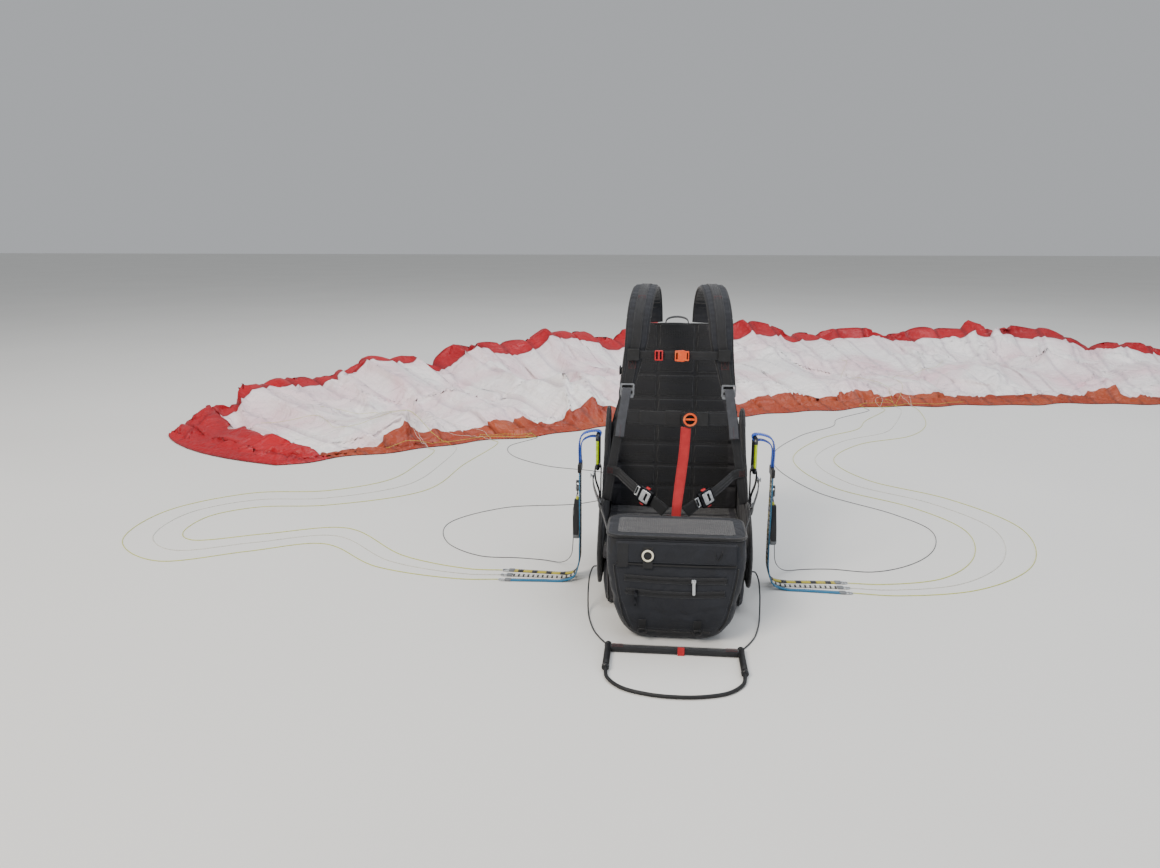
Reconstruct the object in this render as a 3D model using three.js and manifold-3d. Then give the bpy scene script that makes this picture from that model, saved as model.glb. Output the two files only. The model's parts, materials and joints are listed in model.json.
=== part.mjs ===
// A paraglider parked on the ground: the wing laid out in an arc, its lines slack on the floor,
// and the harness sitting on its airbag in front, joined to the lines by two sets of risers.
//
// Millimetres, +Z up. The harness faces -Y, the wing lies behind it towards +Y with its leading
// edge furthest away, and left is the pilot's left, which is +X. The origin is on the floor, in
// the middle of the harness's underside.

import * as THREE from "three";
import { mergeVertices } from "three/addons/utils/BufferGeometryUtils.js";
import Module from "manifold-3d";

const wasm = await Module();
wasm.setup();

// Place of the wing behind the harness
const WING_X = 2200; // centre of the arc that the wing is laid along
const WING_Y = -1340;
const WING_TURN = 0.3; // radians, the pilot's left tip lies further back

// Wing, as laid out and bunched up: its cut is 10.2 m by 2.6 m
const ARC_RADIUS = 5000;
const HALF_ARC = 0.74; // radians, from the middle of the wing to a tip
const ROOT_CHORD = 2050;
const CHORD_TAPER = 0.9; // share of the half span at which the ellipse of the outline is cut
const CLOTH = 15; // thickness of the two layers of cloth and the ribs between them
const EDGE_HEIGHT = 17;
const SEAM = 0.3; // half the gap between neighbouring panels
const NOSE_SHARE = 0.2; // share of the chord in the leading edge band
const TAIL_SHARE = 0.9; // where the trailing edge band starts
const TIP_SHARE = 0.92; // where the tip panels start
const PANEL_COLUMNS = 28; // facets along one half of the wing

// Harness
const HALF_WIDTH = 190;
const SEAT_BOTTOM = 130.6;
const SEAT_TOP = 171;
const BACK_LEAN = 0.11;
const BACK_TOP = 716;
const BACK_FRONT = 118; // front face of the back panel at seat height
const BACK_THICK = 38;
const PANEL_INNER = 190.6;
const PANEL_THICK = 14;
const HIP_TOP = 255; // flat top of the side panel, where the shoulder webbing is sewn

// Hip hardware
const RING_X = 214.7;
const RING_Y = -45;
const RING_Z = 385;
const RING_HALF_WIDE = 27;
const RING_HALF_HIGH = 48;
const RING_CORNER = 13;
const RING_ROD = 5.5;
const GATE_ROD = 4.5;
const RING_END = 34.5; // ends of the open rod, from the middle of the ring
const GATE_PIVOT = -RING_END + GATE_ROD + 0.4;
const EYE_INNER = 6.3;
const EYE_OUTER = 9.5;

// Risers: three straps a side, which hang down and end on the floor
const RISER_X = 265;
const RISER_TOP = 349.5;
const RISER_THICK = 3;
const RISER_END = 470;
const FLOOR_STRAP = 2.3; // height of a strap's middle where it lies on the floor
// Each row: strap, its place along Y at the top, its place along Y at the floor
const RISER_STRAPS = [
  { strap: "a", top: -18, floor: -27, wide: 16 },
  { strap: "b", top: 0, floor: 0, wide: 16 },
  { strap: "c", top: 18, floor: 27, wide: 16 },
];

// Brake pulley and handle, on the rear strap
const PULLEY_Y = 20;
const PULLEY_Z = 268;
const PULLEY_RADIUS = 10;
const PIN_RADIUS = 2;
const CHEEK_IN = 266.8;
const CHEEK_OUT = 278.8;
const CHEEK_THICK = 1.6;
const CORD_TURN = 9.2; // radius at which the brake line runs round the pulley

// Lines
const LINE_RADIUS = 1.1;
const CORD_RADIUS = 2;

const { cos, sin, PI, abs, max, min, hypot } = Math;
const v3 = (x, y, z) => new THREE.Vector3(x, y, z);

// Materials

const cloth = (color, roughness = 0.8) =>
  new THREE.MeshStandardMaterial({ color, roughness, metalness: 0 });
const metal = (color, roughness = 0.35) =>
  new THREE.MeshStandardMaterial({ color, roughness, metalness: 1 });
const WHITE_SAIL = cloth(0xe9e6ea, 0.6);
const RED_SAIL = cloth(0xc4182c, 0.6);
const ORANGE_SAIL = cloth(0xb8441c, 0.6);
const CHARCOAL = cloth(0x2c2c30);
const BLACK_CLOTH = cloth(0x15161b);
const WEBBING = cloth(0x111216, 0.9);
const RED_WEBBING = cloth(0xb01018, 0.9);
const BLUE_WEBBING = cloth(0x1440a8, 0.9);
const LINE = cloth(0xb8b43a, 0.7);
const RUBBER = cloth(0x0e0e10, 0.6);
const ORANGE_PLASTIC = cloth(0xe0561a, 0.4);
const BLACK_PLASTIC = cloth(0x101114, 0.4);
const DARK_METAL = metal(0x3a3c40);
const NEON_METAL = metal(0xd6ec2c, 0.4);
const STEEL = metal(0xb8bcc0);

// Making solids

// A closed body through sections of equally many points, counted the same way round.
function loft(sections) {
  const count = sections[0].length;
  const points = sections.flat();
  const faces = [];
  for (let s = 0; s + 1 < sections.length; s++)
    for (let i = 0; i < count; i++) {
      const a = s * count + i;
      const b = s * count + ((i + 1) % count);
      faces.push([a, b, b + count], [a, b + count, a + count]);
    }
  const cap = (ring, first, flip) => {
    const flat = flatten(ring);
    const turned = THREE.ShapeUtils.isClockWise(flat);
    for (const [a, b, c] of THREE.ShapeUtils.triangulateShape(flat, []))
      faces.push(
        turned === flip
          ? [first + a, first + b, first + c]
          : [first + c, first + b, first + a],
      );
  };
  cap(sections[0], 0, true);
  cap(sections.at(-1), (sections.length - 1) * count, false);
  return facedOut(points, faces);
}

// A ring of points as seen in its own plane, turning the way its normal says.
function flatten(ring) {
  const normal = v3(0, 0, 0);
  ring.forEach((p, i) =>
    normal.add(p.clone().cross(ring[(i + 1) % ring.length])),
  );
  normal.normalize();
  const across = abs(normal.x) < 0.9 ? v3(1, 0, 0) : v3(0, 1, 0);
  const e1 = across.addScaledVector(normal, -across.dot(normal)).normalize();
  const e2 = normal.clone().cross(e1);
  return ring.map((p) => new THREE.Vector2(p.dot(e1), p.dot(e2)));
}

// The geometry of a closed body, turned right side out if its volume comes out negative.
function facedOut(points, faces) {
  const volume = faces.reduce(
    (sum, [a, b, c]) =>
      sum + points[a].dot(points[b].clone().cross(points[c])),
    0,
  );
  const index = volume < 0 ? faces.map(([a, b, c]) => [c, b, a]) : faces;
  const geometry = new THREE.BufferGeometry().setFromPoints(points);
  geometry.setIndex(index.flat());
  return geometry;
}

function solidOf(geometry) {
  const bare = geometry.clone();
  bare.deleteAttribute("normal");
  bare.deleteAttribute("uv");
  const merged = mergeVertices(bare, 1e-3);
  return new wasm.Manifold(
    new wasm.Mesh({
      numProp: 3,
      vertProperties: new Float32Array(merged.attributes.position.array),
      triVerts: new Uint32Array(merged.index.array),
    }),
  );
}

function geometryOf(solid) {
  const mesh = solid.getMesh();
  const geometry = new THREE.BufferGeometry();
  geometry.setAttribute(
    "position",
    new THREE.BufferAttribute(new Float32Array(mesh.vertProperties), 3),
  );
  geometry.setIndex(new THREE.BufferAttribute(mesh.triVerts, 1));
  return geometry;
}

const joined = (...parts) =>
  geometryOf(parts.map(solidOf).reduce((sum, part) => sum.add(part)));
const cut = (body, ...tools) =>
  geometryOf(tools.map(solidOf).reduce((left, t) => left.subtract(t), solidOf(body)));

// A flat strap along a smooth line. Each stop is [x, y, z, width, thickness]; side is the
// direction of the width, the same along the whole strap or a function of the share along it.
function strap(stops, side, steps) {
  const line = new THREE.CatmullRomCurve3(stops.map((s) => v3(s[0], s[1], s[2])));
  const sections = [];
  for (let i = 0; i <= steps; i++) {
    const t = i / steps;
    const at = t * (stops.length - 1);
    const low = min(stops.length - 2, at | 0);
    const size = [3, 4].map((k) =>
      THREE.MathUtils.lerp(stops[low][k], stops[low + 1][k], at - low),
    );
    const along = line.getTangent(t);
    const wide = (typeof side === "function" ? side(t) : side).clone();
    wide.addScaledVector(along, -wide.dot(along)).normalize();
    const thick = along.clone().cross(wide);
    const middle = line.getPoint(t);
    sections.push(
      [[-1, -1], [1, -1], [1, 1], [-1, 1]].map(([w, h]) =>
        middle
          .clone()
          .addScaledVector(wide, (w * size[0]) / 2)
          .addScaledVector(thick, (h * size[1]) / 2),
      ),
    );
  }
  return loft(sections);
}

// A round cord along a smooth line through points given as [x, y, z].
function tube(points, radius, steps, sides = 8) {
  const section = new THREE.Shape();
  section.absarc(0, 0, radius, 0, 2 * PI, false);
  const round = new THREE.Shape(section.getPoints(sides).slice(0, sides));
  const path = new THREE.CatmullRomCurve3(points.map((p) => v3(...p)), false, "centripetal");
  return new THREE.ExtrudeGeometry(round, {
    steps,
    bevelEnabled: false,
    extrudePath: path,
  });
}

// A flat shape with holes. ExtrudeGeometry turns the holes only with a counterclockwise outline.
function shapeOf(outline, holes) {
  const points = (list) => list.map(([a, b]) => new THREE.Vector2(a, b));
  const rim = points(outline);
  if (THREE.ShapeUtils.isClockWise(rim)) rim.reverse();
  const shape = new THREE.Shape(rim);
  shape.holes = holes.map((hole) => new THREE.Path(points(hole)));
  return shape;
}

// A plate of the given outline in the YZ plane, from x = start to x = start + thick.
function plate(outline, start, thick, holes = []) {
  const shape = shapeOf(outline, holes);
  const geometry = new THREE.ExtrudeGeometry(shape, { depth: thick, bevelEnabled: false });
  // local x, y, z become y, z, x
  const turn = new THREE.Matrix4().makeBasis(v3(0, 1, 0), v3(0, 0, 1), v3(1, 0, 0));
  return geometry.applyMatrix4(turn).translate(start, 0, 0);
}

// A plate of the given outline in the XZ plane, from y = start to y = start + thick.
function crossPlate(outline, start, thick, holes = []) {
  const shape = shapeOf(outline, holes);
  const geometry = new THREE.ExtrudeGeometry(shape, { depth: thick, bevelEnabled: false });
  // local x, y, z become x, z, -y
  const turn = new THREE.Matrix4().makeBasis(v3(1, 0, 0), v3(0, 0, 1), v3(0, -1, 0));
  return geometry.applyMatrix4(turn).translate(0, start + thick, 0);
}

// A stuffed shape: an outline in the YZ plane carried across X, drawn in towards its ends.
function pillow(outline, halfWidth, inset) {
  const middle = outline
    .reduce((sum, [y, z]) => [sum[0] + y, sum[1] + z], [0, 0])
    .map((s) => s / outline.length);
  // share of the half width, share of the inset
  const stations = [[-1, 1], [-0.9, 0.3], [-0.6, 0], [0.6, 0], [0.9, 0.3], [1, 1]];
  return loft(
    stations.map(([across, drawn]) =>
      outline.map(([y, z]) => {
        const reach = hypot(y - middle[0], z - middle[1]);
        const share = 1 - (inset * drawn) / max(reach, inset * 2);
        return v3(
          across * halfWidth,
          middle[0] + (y - middle[0]) * share,
          middle[1] + (z - middle[1]) * share,
        );
      }),
    ),
  );
}

const arc = (x, y, radius, from, to, count) =>
  Array.from({ length: count + 1 }, (_, i) => {
    const a = from + ((to - from) * i) / count;
    return [x + radius * cos(a), y + radius * sin(a)];
  });

const block = (x0, x1, y0, y1, z0, z1) =>
  new THREE.BoxGeometry(x1 - x0, y1 - y0, z1 - z0).translate(
    (x0 + x1) / 2,
    (y0 + y1) / 2,
    (z0 + z1) / 2,
  );

const piece = (name, geometry, material) => {
  const mesh = new THREE.Mesh(geometry, material);
  mesh.name = name;
  return mesh;
};

// Wing

// Length of the chord as laid out, u being -1 at the right tip and 1 at the left one.
const chordAt = (u) => ROOT_CHORD * Math.sqrt(1 - (CHORD_TAPER * u) ** 2);

// Height of the cloth above the floor, v being 0 at the leading edge and 1 at the trailing edge.
function heightAt(u, v) {
  const nose = 105 * Math.exp(-(((v - 0.14) / 0.13) ** 2));
  const sail = 50 * sin(PI * min(1, v)) ** 0.7;
  const cells = 26 * sin(2 * PI * (6 * u + 0.2 * sin(3 * v)));
  const drape = 20 * sin(2 * PI * (2.3 * u - 1.3 * v) + 1.1);
  const fold = 16 * sin(2 * PI * (1.2 * u + 2.1 * v) + 2.4);
  const edge = min(1, 9 * v, 7 * (1 - v)) * (1 - 0.5 * abs(u) ** 4);
  return EDGE_HEIGHT + edge * max(4, 22 + nose + sail + cells + drape + fold);
}

// Place of a point of the laid-out wing, raised by z.
function wingPoint(u, v, z) {
  const angle = u * HALF_ARC - WING_TURN;
  const radius = ARC_RADIUS + chordAt(u) * (0.5 - v);
  return v3(WING_X + radius * sin(angle), WING_Y + radius * cos(angle), z);
}

// One panel of the wing between two shares of the half span and two shares of the chord.
function wingPanel(u0, u1, v0, v1, columns, rows) {
  const mean = (a, b, n, i) => a + ((b - a) * i) / n;
  const seamU = SEAM / (ARC_RADIUS * HALF_ARC);
  const seamV = SEAM / ROOT_CHORD;
  const [ua, ub] = [u0 + seamU, u1 - seamU];
  const va = v0 + (v0 > 0 ? seamV * 2 : 0);
  const vb = v1 - (v1 < 1 ? seamV * 2 : 0);
  const sections = [];
  for (let i = 0; i <= columns; i++) {
    const u = mean(ua, ub, columns, i);
    const top = [];
    const under = [];
    for (let j = 0; j <= rows; j++) {
      const v = mean(va, vb, rows, j);
      const z = heightAt(u, v);
      top.push(wingPoint(u, v, z));
      under.unshift(wingPoint(u, v, max(0, z - CLOTH)));
    }
    sections.push([...top, ...under]);
  }
  return loft(sections);
}

function wing() {
  const group = new THREE.Group();
  // band, shares of the chord that it covers, rows of facets, material
  const bands = [
    ["leading_edge", 0, NOSE_SHARE, 4, RED_SAIL],
    ["sail", NOSE_SHARE, TAIL_SHARE, 6, WHITE_SAIL],
    ["trailing_edge", TAIL_SHARE, 1, 1, ORANGE_SAIL],
  ];
  for (const [side, from, to] of [["left", 0, TIP_SHARE], ["right", -TIP_SHARE, 0]])
    for (const [band, v0, v1, rows, material] of bands)
      group.add(piece(`${band}_${side}`, wingPanel(from, to, v0, v1, PANEL_COLUMNS, rows), material));
  group.add(piece("wing_tip_left", wingPanel(TIP_SHARE, 1, 0, 1, 3, 6), RED_SAIL));
  group.add(piece("wing_tip_right", wingPanel(-1, -TIP_SHARE, 0, 1, 3, 6), RED_SAIL));
  return group;
}

// Harness

const backFront = (z) => BACK_FRONT + (z - SEAT_TOP) * BACK_LEAN;

// Airbag: the part under the seat and the bulge behind the back
function airbagBase() {
  const outline = [
    [-205, 0], [166, 0], [166, 130], [-210, 130], [-232, 100], [-238, 50], [-225, 12],
  ];
  return pillow(outline, HALF_WIDTH, 26);
}

function airbagRear() {
  const outline = [
    [166.6, 0], [215, 0], [298, 30], [352, 96], [374, 185], [364, 275], [320, 350],
    [255, 390], [182, 398], [166.6, 260],
  ];
  return pillow(outline, HALF_WIDTH, 26);
}

function seatPad() {
  const outline = [
    [-229, 142], [-218, SEAT_BOTTOM], [155, SEAT_BOTTOM], [163, 142], [163, 160],
    [155, SEAT_TOP], [-205, SEAT_TOP], [-225, 162],
  ];
  return plate(outline, -HALF_WIDTH + 1, 2 * (HALF_WIDTH - 1));
}

function backPanel() {
  // height, half width
  const levels = [[SEAT_TOP + 0.5, 186], [300, 189], [420, 188], [560, 152], [660, 128], [BACK_TOP, 112]];
  return loft(
    levels.map(([z, half]) => {
      const front = backFront(z);
      return [
        v3(-half, front, z),
        v3(half, front, z),
        v3(half, front + BACK_THICK, z),
        v3(-half, front + BACK_THICK, z),
      ];
    }),
  );
}

function backContainer() {
  const rear = (z) => backFront(z) + BACK_THICK + 0.6;
  const outline = [
    [rear(402), 402], [258, 399], [314, 418], [340, 480], [338, 560], [314, 640],
    [278, 688], [236, 706], [rear(702), 702],
  ];
  // Its front side stays flat against the back panel, so only the rear is drawn in.
  const stations = [[-1, 0.62], [-0.9, 0.86], [-0.6, 1], [0.6, 1], [0.9, 0.86], [1, 0.62]];
  return loft(
    stations.map(([across, full]) =>
      outline.map(([y, z]) => {
        const level = 552 + (z - 552) * (0.9 + 0.1 * full);
        const face = rear(level);
        const out = y - rear(z);
        return v3(across * (168 - 0.12 * (level - 402)), face + out * full, level);
      }),
    ),
  );
}

function sidePanel() {
  const outline = [
    [-205, 62], [160, 62], [205, 110], [226, 210], [206, 400], [180, 462], [150, 468],
    [110, 436], [60, 366], [0, 300], [-52, HIP_TOP], [-118, HIP_TOP], [-190, 212],
    [-224, 150], [-222, 90],
  ];
  return plate(outline, PANEL_INNER, PANEL_THICK);
}

// Main webbing: up the side panel and round the lower bar of the ring, its eye sewn shut.
function hangStrap() {
  const bar = RING_Z - RING_HALF_HIGH;
  const inner = PANEL_INNER + PANEL_THICK + 0.6;
  const outline = [
    [inner, 100],
    [inner, bar],
    ...arc(RING_X, bar, EYE_OUTER, PI, 0, 8).slice(1),
    [RING_X + EYE_OUTER, bar - 40],
    [inner + 3.4, bar - 78],
    [inner + 3.4, 100],
  ];
  const eye = [
    ...arc(RING_X, bar, EYE_INNER, PI, 0, 8),
    [RING_X + EYE_INNER - 1, bar - 30],
    [RING_X - EYE_INNER + 1, bar - 34],
  ];
  return crossPlate(outline, RING_Y - 9, 22, [eye]);
}

// The ring that joins harness and risers: a rod bent to a rounded rectangle, open at its gate.
function ringBody() {
  const [w, h, r] = [RING_HALF_WIDE, RING_HALF_HIGH, RING_CORNER];
  const line = [
    [-w, RING_END],
    ...arc(-w + r, h - r, r, PI, PI / 2, 4),
    ...arc(w - r, h - r, r, PI / 2, 0, 4),
    ...arc(w - r, -h + r, r, 0, -PI / 2, 4),
    ...arc(-w + r, -h + r, r, -PI / 2, -PI, 4),
    [-w, -RING_END],
  ];
  const sections = line.map(([y, z], i) => {
    const before = line[max(0, i - 1)];
    const after = line[min(line.length - 1, i + 1)];
    const along = v3(0, after[0] - before[0], after[1] - before[1]).normalize();
    const out = v3(1, 0, 0).cross(along);
    return arc(0, 0, RING_ROD, 0, 2 * PI, 8)
      .slice(0, 8)
      .map(([a, b]) => v3(a, y, z).addScaledVector(out, b));
  });
  return loft(sections).translate(RING_X, RING_Y, RING_Z);
}

// Gate of the ring: a round bar whose foot is a ball about its hinge
function ringGate() {
  const foot = arc(0, 0, GATE_ROD, -PI / 2, 0, 4);
  foot[0][0] = 0;
  const head = RING_END - 0.3 - GATE_PIVOT;
  const profile = [...foot, [GATE_ROD, head], [0, head]].map((p) => new THREE.Vector2(...p));
  return new THREE.LatheGeometry(profile, 10)
    .rotateX(PI / 2)
    .translate(RING_X, RING_Y - RING_HALF_WIDE, RING_Z + GATE_PIVOT);
}

function shoulderStrap() {
  const stops = [
    [76, 193, BACK_TOP + 2.6, 62, 14],
    [78, 190, 765, 62, 14],
    [83, 135, 815, 62, 14],
    [92, 60, 828, 62, 14],
    [101, -8, 800, 62, 14],
    [108, -58, 750, 60, 14],
    [112, -78, 700, 56, 13],
    [122, -79.5, 640, 40, 9],
    [133, -81, 580, 27, 5],
    [156, -84, 450, 26, 5],
    [176, -86.5, 330, 26, 5],
    [188, -88, HIP_TOP + 0.5, 26, 5],
  ];
  return strap(stops, v3(1, 0, 0), 33);
}

// A strap across the chest between the two shoulder straps, sewn to their fronts.
function crossStrap(height, reach, ends, bulge, wide, thick) {
  const stops = [-1, -0.82, -0.4, 0, 0.4, 0.82, 1].map((share) => [
    share * reach,
    ends - bulge * (1 - share ** 2),
    height,
    wide,
    thick,
  ]);
  return strap(stops, v3(0, 0, 1), 14);
}

const CHEST = { height: 495, reach: 159, ends: -87.6, bulge: 24, wide: 38, thick: 3 };
const STERNUM = { height: 662, reach: 130, ends: -86.8, bulge: 12, wide: 22, thick: 2.4 };
const acrossChest = (s) => crossStrap(s.height, s.reach, s.ends, s.bulge, s.wide, s.thick);

// Round chest buckle: a ring with a bar across it, in front of the strap.
function chestBuckle() {
  const ring = new THREE.CylinderGeometry(21, 21, 8, 20);
  const hole = new THREE.CylinderGeometry(13.5, 13.5, 12, 20);
  const bar = block(-15, 15, -2.5, 2.5, -3, 3);
  const front = CHEST.ends - CHEST.bulge * (1 - (34 / CHEST.reach) ** 2) - CHEST.thick / 2;
  return joined(cut(ring, hole), bar).translate(34, front - 5.3, CHEST.height);
}

function sternumBuckle() {
  const frame = block(-18, 18, -5, 5, -15, 15);
  const window = block(-11, 11, -8, 8, -9, 9);
  const front = STERNUM.ends - STERNUM.bulge - STERNUM.thick / 2;
  return cut(frame, window).translate(8, front - 5.6, STERNUM.height);
}

// Middle piece of the leg straps, from the front of the seat up to where they part.
function crotchStrap() {
  const stops = [
    [0, -120, SEAT_TOP + 3.2, 96, 5],
    [0, -165, SEAT_TOP + 5, 86, 5],
    [0, -193, SEAT_TOP + 26, 74, 5],
    [0, -200, SEAT_TOP + 56, 66, 5],
    [0, -200, SEAT_TOP + 84, 62, 5],
  ];
  return strap(stops, v3(1, 0, 0), 10);
}

const LEG_STOPS = [
  [26, -199, SEAT_TOP + 92, 34, 3],
  [58, -190, 288, 30, 3],
  [98, -165, 308, 27, 3],
  [138, -118, 328, 26, 3],
  [156.6, -88, 339, 26, 3],
];
const legSide = () => v3(-0.35, -0.1, 1);
const legStrap = () => strap(LEG_STOPS, legSide, 12);

// Square buckle round the leg strap, with a slot that the strap runs through.
function legBuckle() {
  const around = strap([LEG_STOPS[1], LEG_STOPS[2]].map((s) => [s[0], s[1], s[2], 44, 12]), legSide, 1);
  const slot = strap(LEG_STOPS.map((s) => [s[0], s[1], s[2], s[3] + 1.4, s[4] + 0.7]), legSide, 12);
  return cut(around, slot);
}

function warningRibbon() {
  const stops = [
    [24, -116, 474, 27, 1.6],
    [20, -136, 410, 27, 1.6],
    [10, -172, 330, 27, 1.6],
    [4, -203, 285, 25, 1.6],
    [2, -209, 255, 24, 1.6],
  ];
  return strap(stops, v3(1, 0, 0), 8);
}

// Front container, standing on the floor before the seat
const WALL = 5;
const LID_Z = 262;
const LID_THICK = 9;
const LID_HINGE_Y = -406;
// height, half width, front y, rear y
const CONTAINER_LEVELS = [
  [0.3, 92, -385, -275], [14, 112, -402, -260], [60, 140, -418, -252], [130, 158, -420, -250],
  [200, 168, -412, -250], [LID_Z, 168, -402, -252],
];

function containerLevel([z, half, front, rear], inset, corner) {
  const [w, f, r] = [half - inset, front + inset, rear - inset];
  return [
    v3(-w, f + corner, z), v3(-w + corner, f, z), v3(w - corner, f, z), v3(w, f + corner, z),
    v3(w, r - corner, z), v3(w - corner, r, z), v3(-w + corner, r, z), v3(-w, r - corner, z),
  ];
}

function frontContainer() {
  const outside = loft(CONTAINER_LEVELS.map((level) => containerLevel(level, 0, 26)));
  const hollow = CONTAINER_LEVELS.slice(1).map(([z, ...sizes], i, all) => {
    const height = i === 0 ? z - 4 : i === all.length - 1 ? z + 5 : z;
    return containerLevel([height, ...sizes], WALL, 24);
  });
  return cut(outside, loft(hollow));
}

function containerLid() {
  const level = [0, 168, -402, -252];
  return loft([LID_Z + 0.3, LID_Z + LID_THICK].map((z) => containerLevel([z, ...level.slice(1)], 0, 26)));
}

// Stud on the hang strap that carries the container: the axis about which it swings
const STUD_Y = -43;
const STUD_Z = 312;
const STUD_RADIUS = 4;
const STRAP_END_X = 226.2;

function containerStud() {
  const long = 10;
  const shank = new THREE.CylinderGeometry(STUD_RADIUS, STUD_RADIUS, long, 12);
  const cap = new THREE.CylinderGeometry(7, 7, 1.6, 12).translate(0, -long / 2 - 0.7, 0);
  return joined(shank, cap)
    .rotateZ(PI / 2)
    .translate(RING_X + EYE_OUTER + 0.3 + long / 2, STUD_Y, STUD_Z);
}

// Webbing from the side of the container up to the stud, ending in an eye plate
function containerStrap() {
  const stops = [
    [168.9, -335, 176, 20, 2.4],
    [169.8, -316, 204, 20, 2.4],
    [171, -288, 230, 20, 2.4],
    [196, -200, 272, 20, 2.4],
    [222, -105, 300, 20, 2.4],
    [STRAP_END_X + 1.5, -62, 309, 18, 2.4],
    [STRAP_END_X + 1.5, -50, STUD_Z - 1, 14, 2.4],
  ];
  const webbing = strap(stops, v3(0, -0.35, 0.94), 14);
  const disc = new THREE.CylinderGeometry(10, 10, 3, 16)
    .rotateZ(PI / 2)
    .translate(STRAP_END_X + 1.5, STUD_Y, STUD_Z);
  const bore = new THREE.CylinderGeometry(STUD_RADIUS + 0.6, STUD_RADIUS + 0.6, 8, 12)
    .rotateZ(PI / 2)
    .translate(STRAP_END_X + 1.5, STUD_Y, STUD_Z);
  return cut(joined(webbing, disc), bore);
}

// Foot bar: a stiff upper step between two sleeves, and a lower loop of sheathed cord
function speedBar() {
  const step = block(-152, 152, -476, -456, 1, 15);
  const sleeves = [-1, 1].map((s) =>
    new THREE.CylinderGeometry(8, 8, 112, 10).translate(s * 158, -508, 9),
  );
  const loop = tube(
    [
      [-158, -562, 9], [-152, -600, 5.4], [-118, -640, 4.8], [-60, -662, 4.6], [0, -668, 4.6],
      [60, -662, 4.6], [118, -640, 4.8], [152, -600, 5.4], [158, -562, 9],
    ],
    4.2,
    28,
  );
  return joined(step, ...sleeves, loop);
}

// Sheathed cord from the foot bar back to the guide at the front corner of the seat
const SPEED_CORD = [
  [158, -451.6, 6], [163, -440, 3], [180, -412, 2.5], [199, -372, 2.5], [212, -325, 2.5],
  [220, -285, 3.5], [225, -246, 18], [226, -222, 55], [222, -208, 88], [213, -203, 105],
  [205.4, -203, 106],
];

// Risers

// Loop of the risers, round the upper bar of the ring and folded down outside it
function riserLoop() {
  const bar = RING_Z + RING_HALF_HIGH;
  const [inner, outer] = [RISER_X - 5, RISER_X + 5];
  const outline = [
    ...arc(RING_X, bar, EYE_OUTER, (3 * PI) / 2, PI / 2, 10),
    [238, bar + 9.5], [256, bar + 4], [outer - 2, bar - 10], [outer, bar - 30],
    [outer, RISER_TOP + 0.5], [inner, RISER_TOP + 0.5], [inner, bar - 34], [inner - 4, bar - 20],
    [244, bar - 11], [232, bar - 9.5],
  ];
  const eye = [
    ...arc(RING_X, bar, EYE_INNER, (3 * PI) / 2, PI / 2, 10),
    [232, bar + 4.5], [240, bar], [232, bar - 4.5],
  ];
  return crossPlate(outline, RING_Y - 8, 24, [eye]);
}

function riser() {
  const head = block(RISER_X - 4.5, RISER_X + 4.5, RING_Y - 30, RING_Y + 30, RISER_TOP - 24, RISER_TOP);
  const parts = RISER_STRAPS.flatMap(({ top, floor, wide }) => {
    const stops = [
      [RISER_X, RING_Y + top, RISER_TOP - 20, wide, RISER_THICK],
      [RISER_X, RING_Y + top, 260, wide, RISER_THICK],
      [RISER_X, RING_Y + top, 110, wide, RISER_THICK],
      [RISER_X + 3, RING_Y + top * 1.1, 52, wide, RISER_THICK],
      [RISER_X + 18, RING_Y + top * 1.2, 14, wide, RISER_THICK],
      [RISER_X + 52, RING_Y + (top + floor) * 0.6, FLOOR_STRAP + 0.6, wide, RISER_THICK],
      [RISER_X + 110, RING_Y + floor * 1.1, FLOOR_STRAP, wide, RISER_THICK],
      [RISER_END, RING_Y + floor * 1.3, FLOOR_STRAP, wide, RISER_THICK],
    ];
    return [strap(stops, v3(0, 1, 0), 16), quickLink(RING_Y + floor * 1.3)];
  });
  return joined(head, ...parts, ...pulleyBlock());
}

const LINK_LONG = 34;
// Steel link through the end of a riser strap, flat on the floor
function quickLink(y) {
  const rod = 2;
  const outer = [
    ...arc(0, 0, 9, PI / 2, (3 * PI) / 2, 6),
    ...arc(LINK_LONG - 18, 0, 9, -PI / 2, PI / 2, 6),
  ];
  const inner = [
    ...arc(0, 0, 9 - 2 * rod, PI / 2, (3 * PI) / 2, 6),
    ...arc(LINK_LONG - 18, 0, 9 - 2 * rod, -PI / 2, PI / 2, 6),
  ];
  const shape = new THREE.Shape(outer.map((p) => new THREE.Vector2(...p)));
  shape.holes.push(new THREE.Path(inner.map((p) => new THREE.Vector2(...p))));
  return new THREE.ExtrudeGeometry(shape, { depth: 2 * rod, bevelEnabled: false }).translate(
    RISER_END + 5,
    y,
    FLOOR_STRAP - 2,
  );
}

function pulleyBlock() {
  const y = RING_Y + PULLEY_Y;
  const outline = [
    ...arc(y, PULLEY_Z, 7, PI, 2 * PI, 8),
    [y + 7, PULLEY_Z + 22],
    [y - 7, PULLEY_Z + 22],
  ];
  const inner = plate(outline, CHEEK_IN - 0.8, CHEEK_THICK + 0.8);
  const outer = plate(outline, CHEEK_OUT - CHEEK_THICK, CHEEK_THICK);
  const bridge = block(CHEEK_IN, CHEEK_OUT, y - 7, y + 7, PULLEY_Z + 16, PULLEY_Z + 22);
  const pin = new THREE.CylinderGeometry(PIN_RADIUS, PIN_RADIUS, CHEEK_OUT - CHEEK_IN, 12)
    .rotateZ(PI / 2)
    .translate((CHEEK_IN + CHEEK_OUT) / 2, y, PULLEY_Z);
  return [inner, outer, bridge, pin];
}

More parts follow.
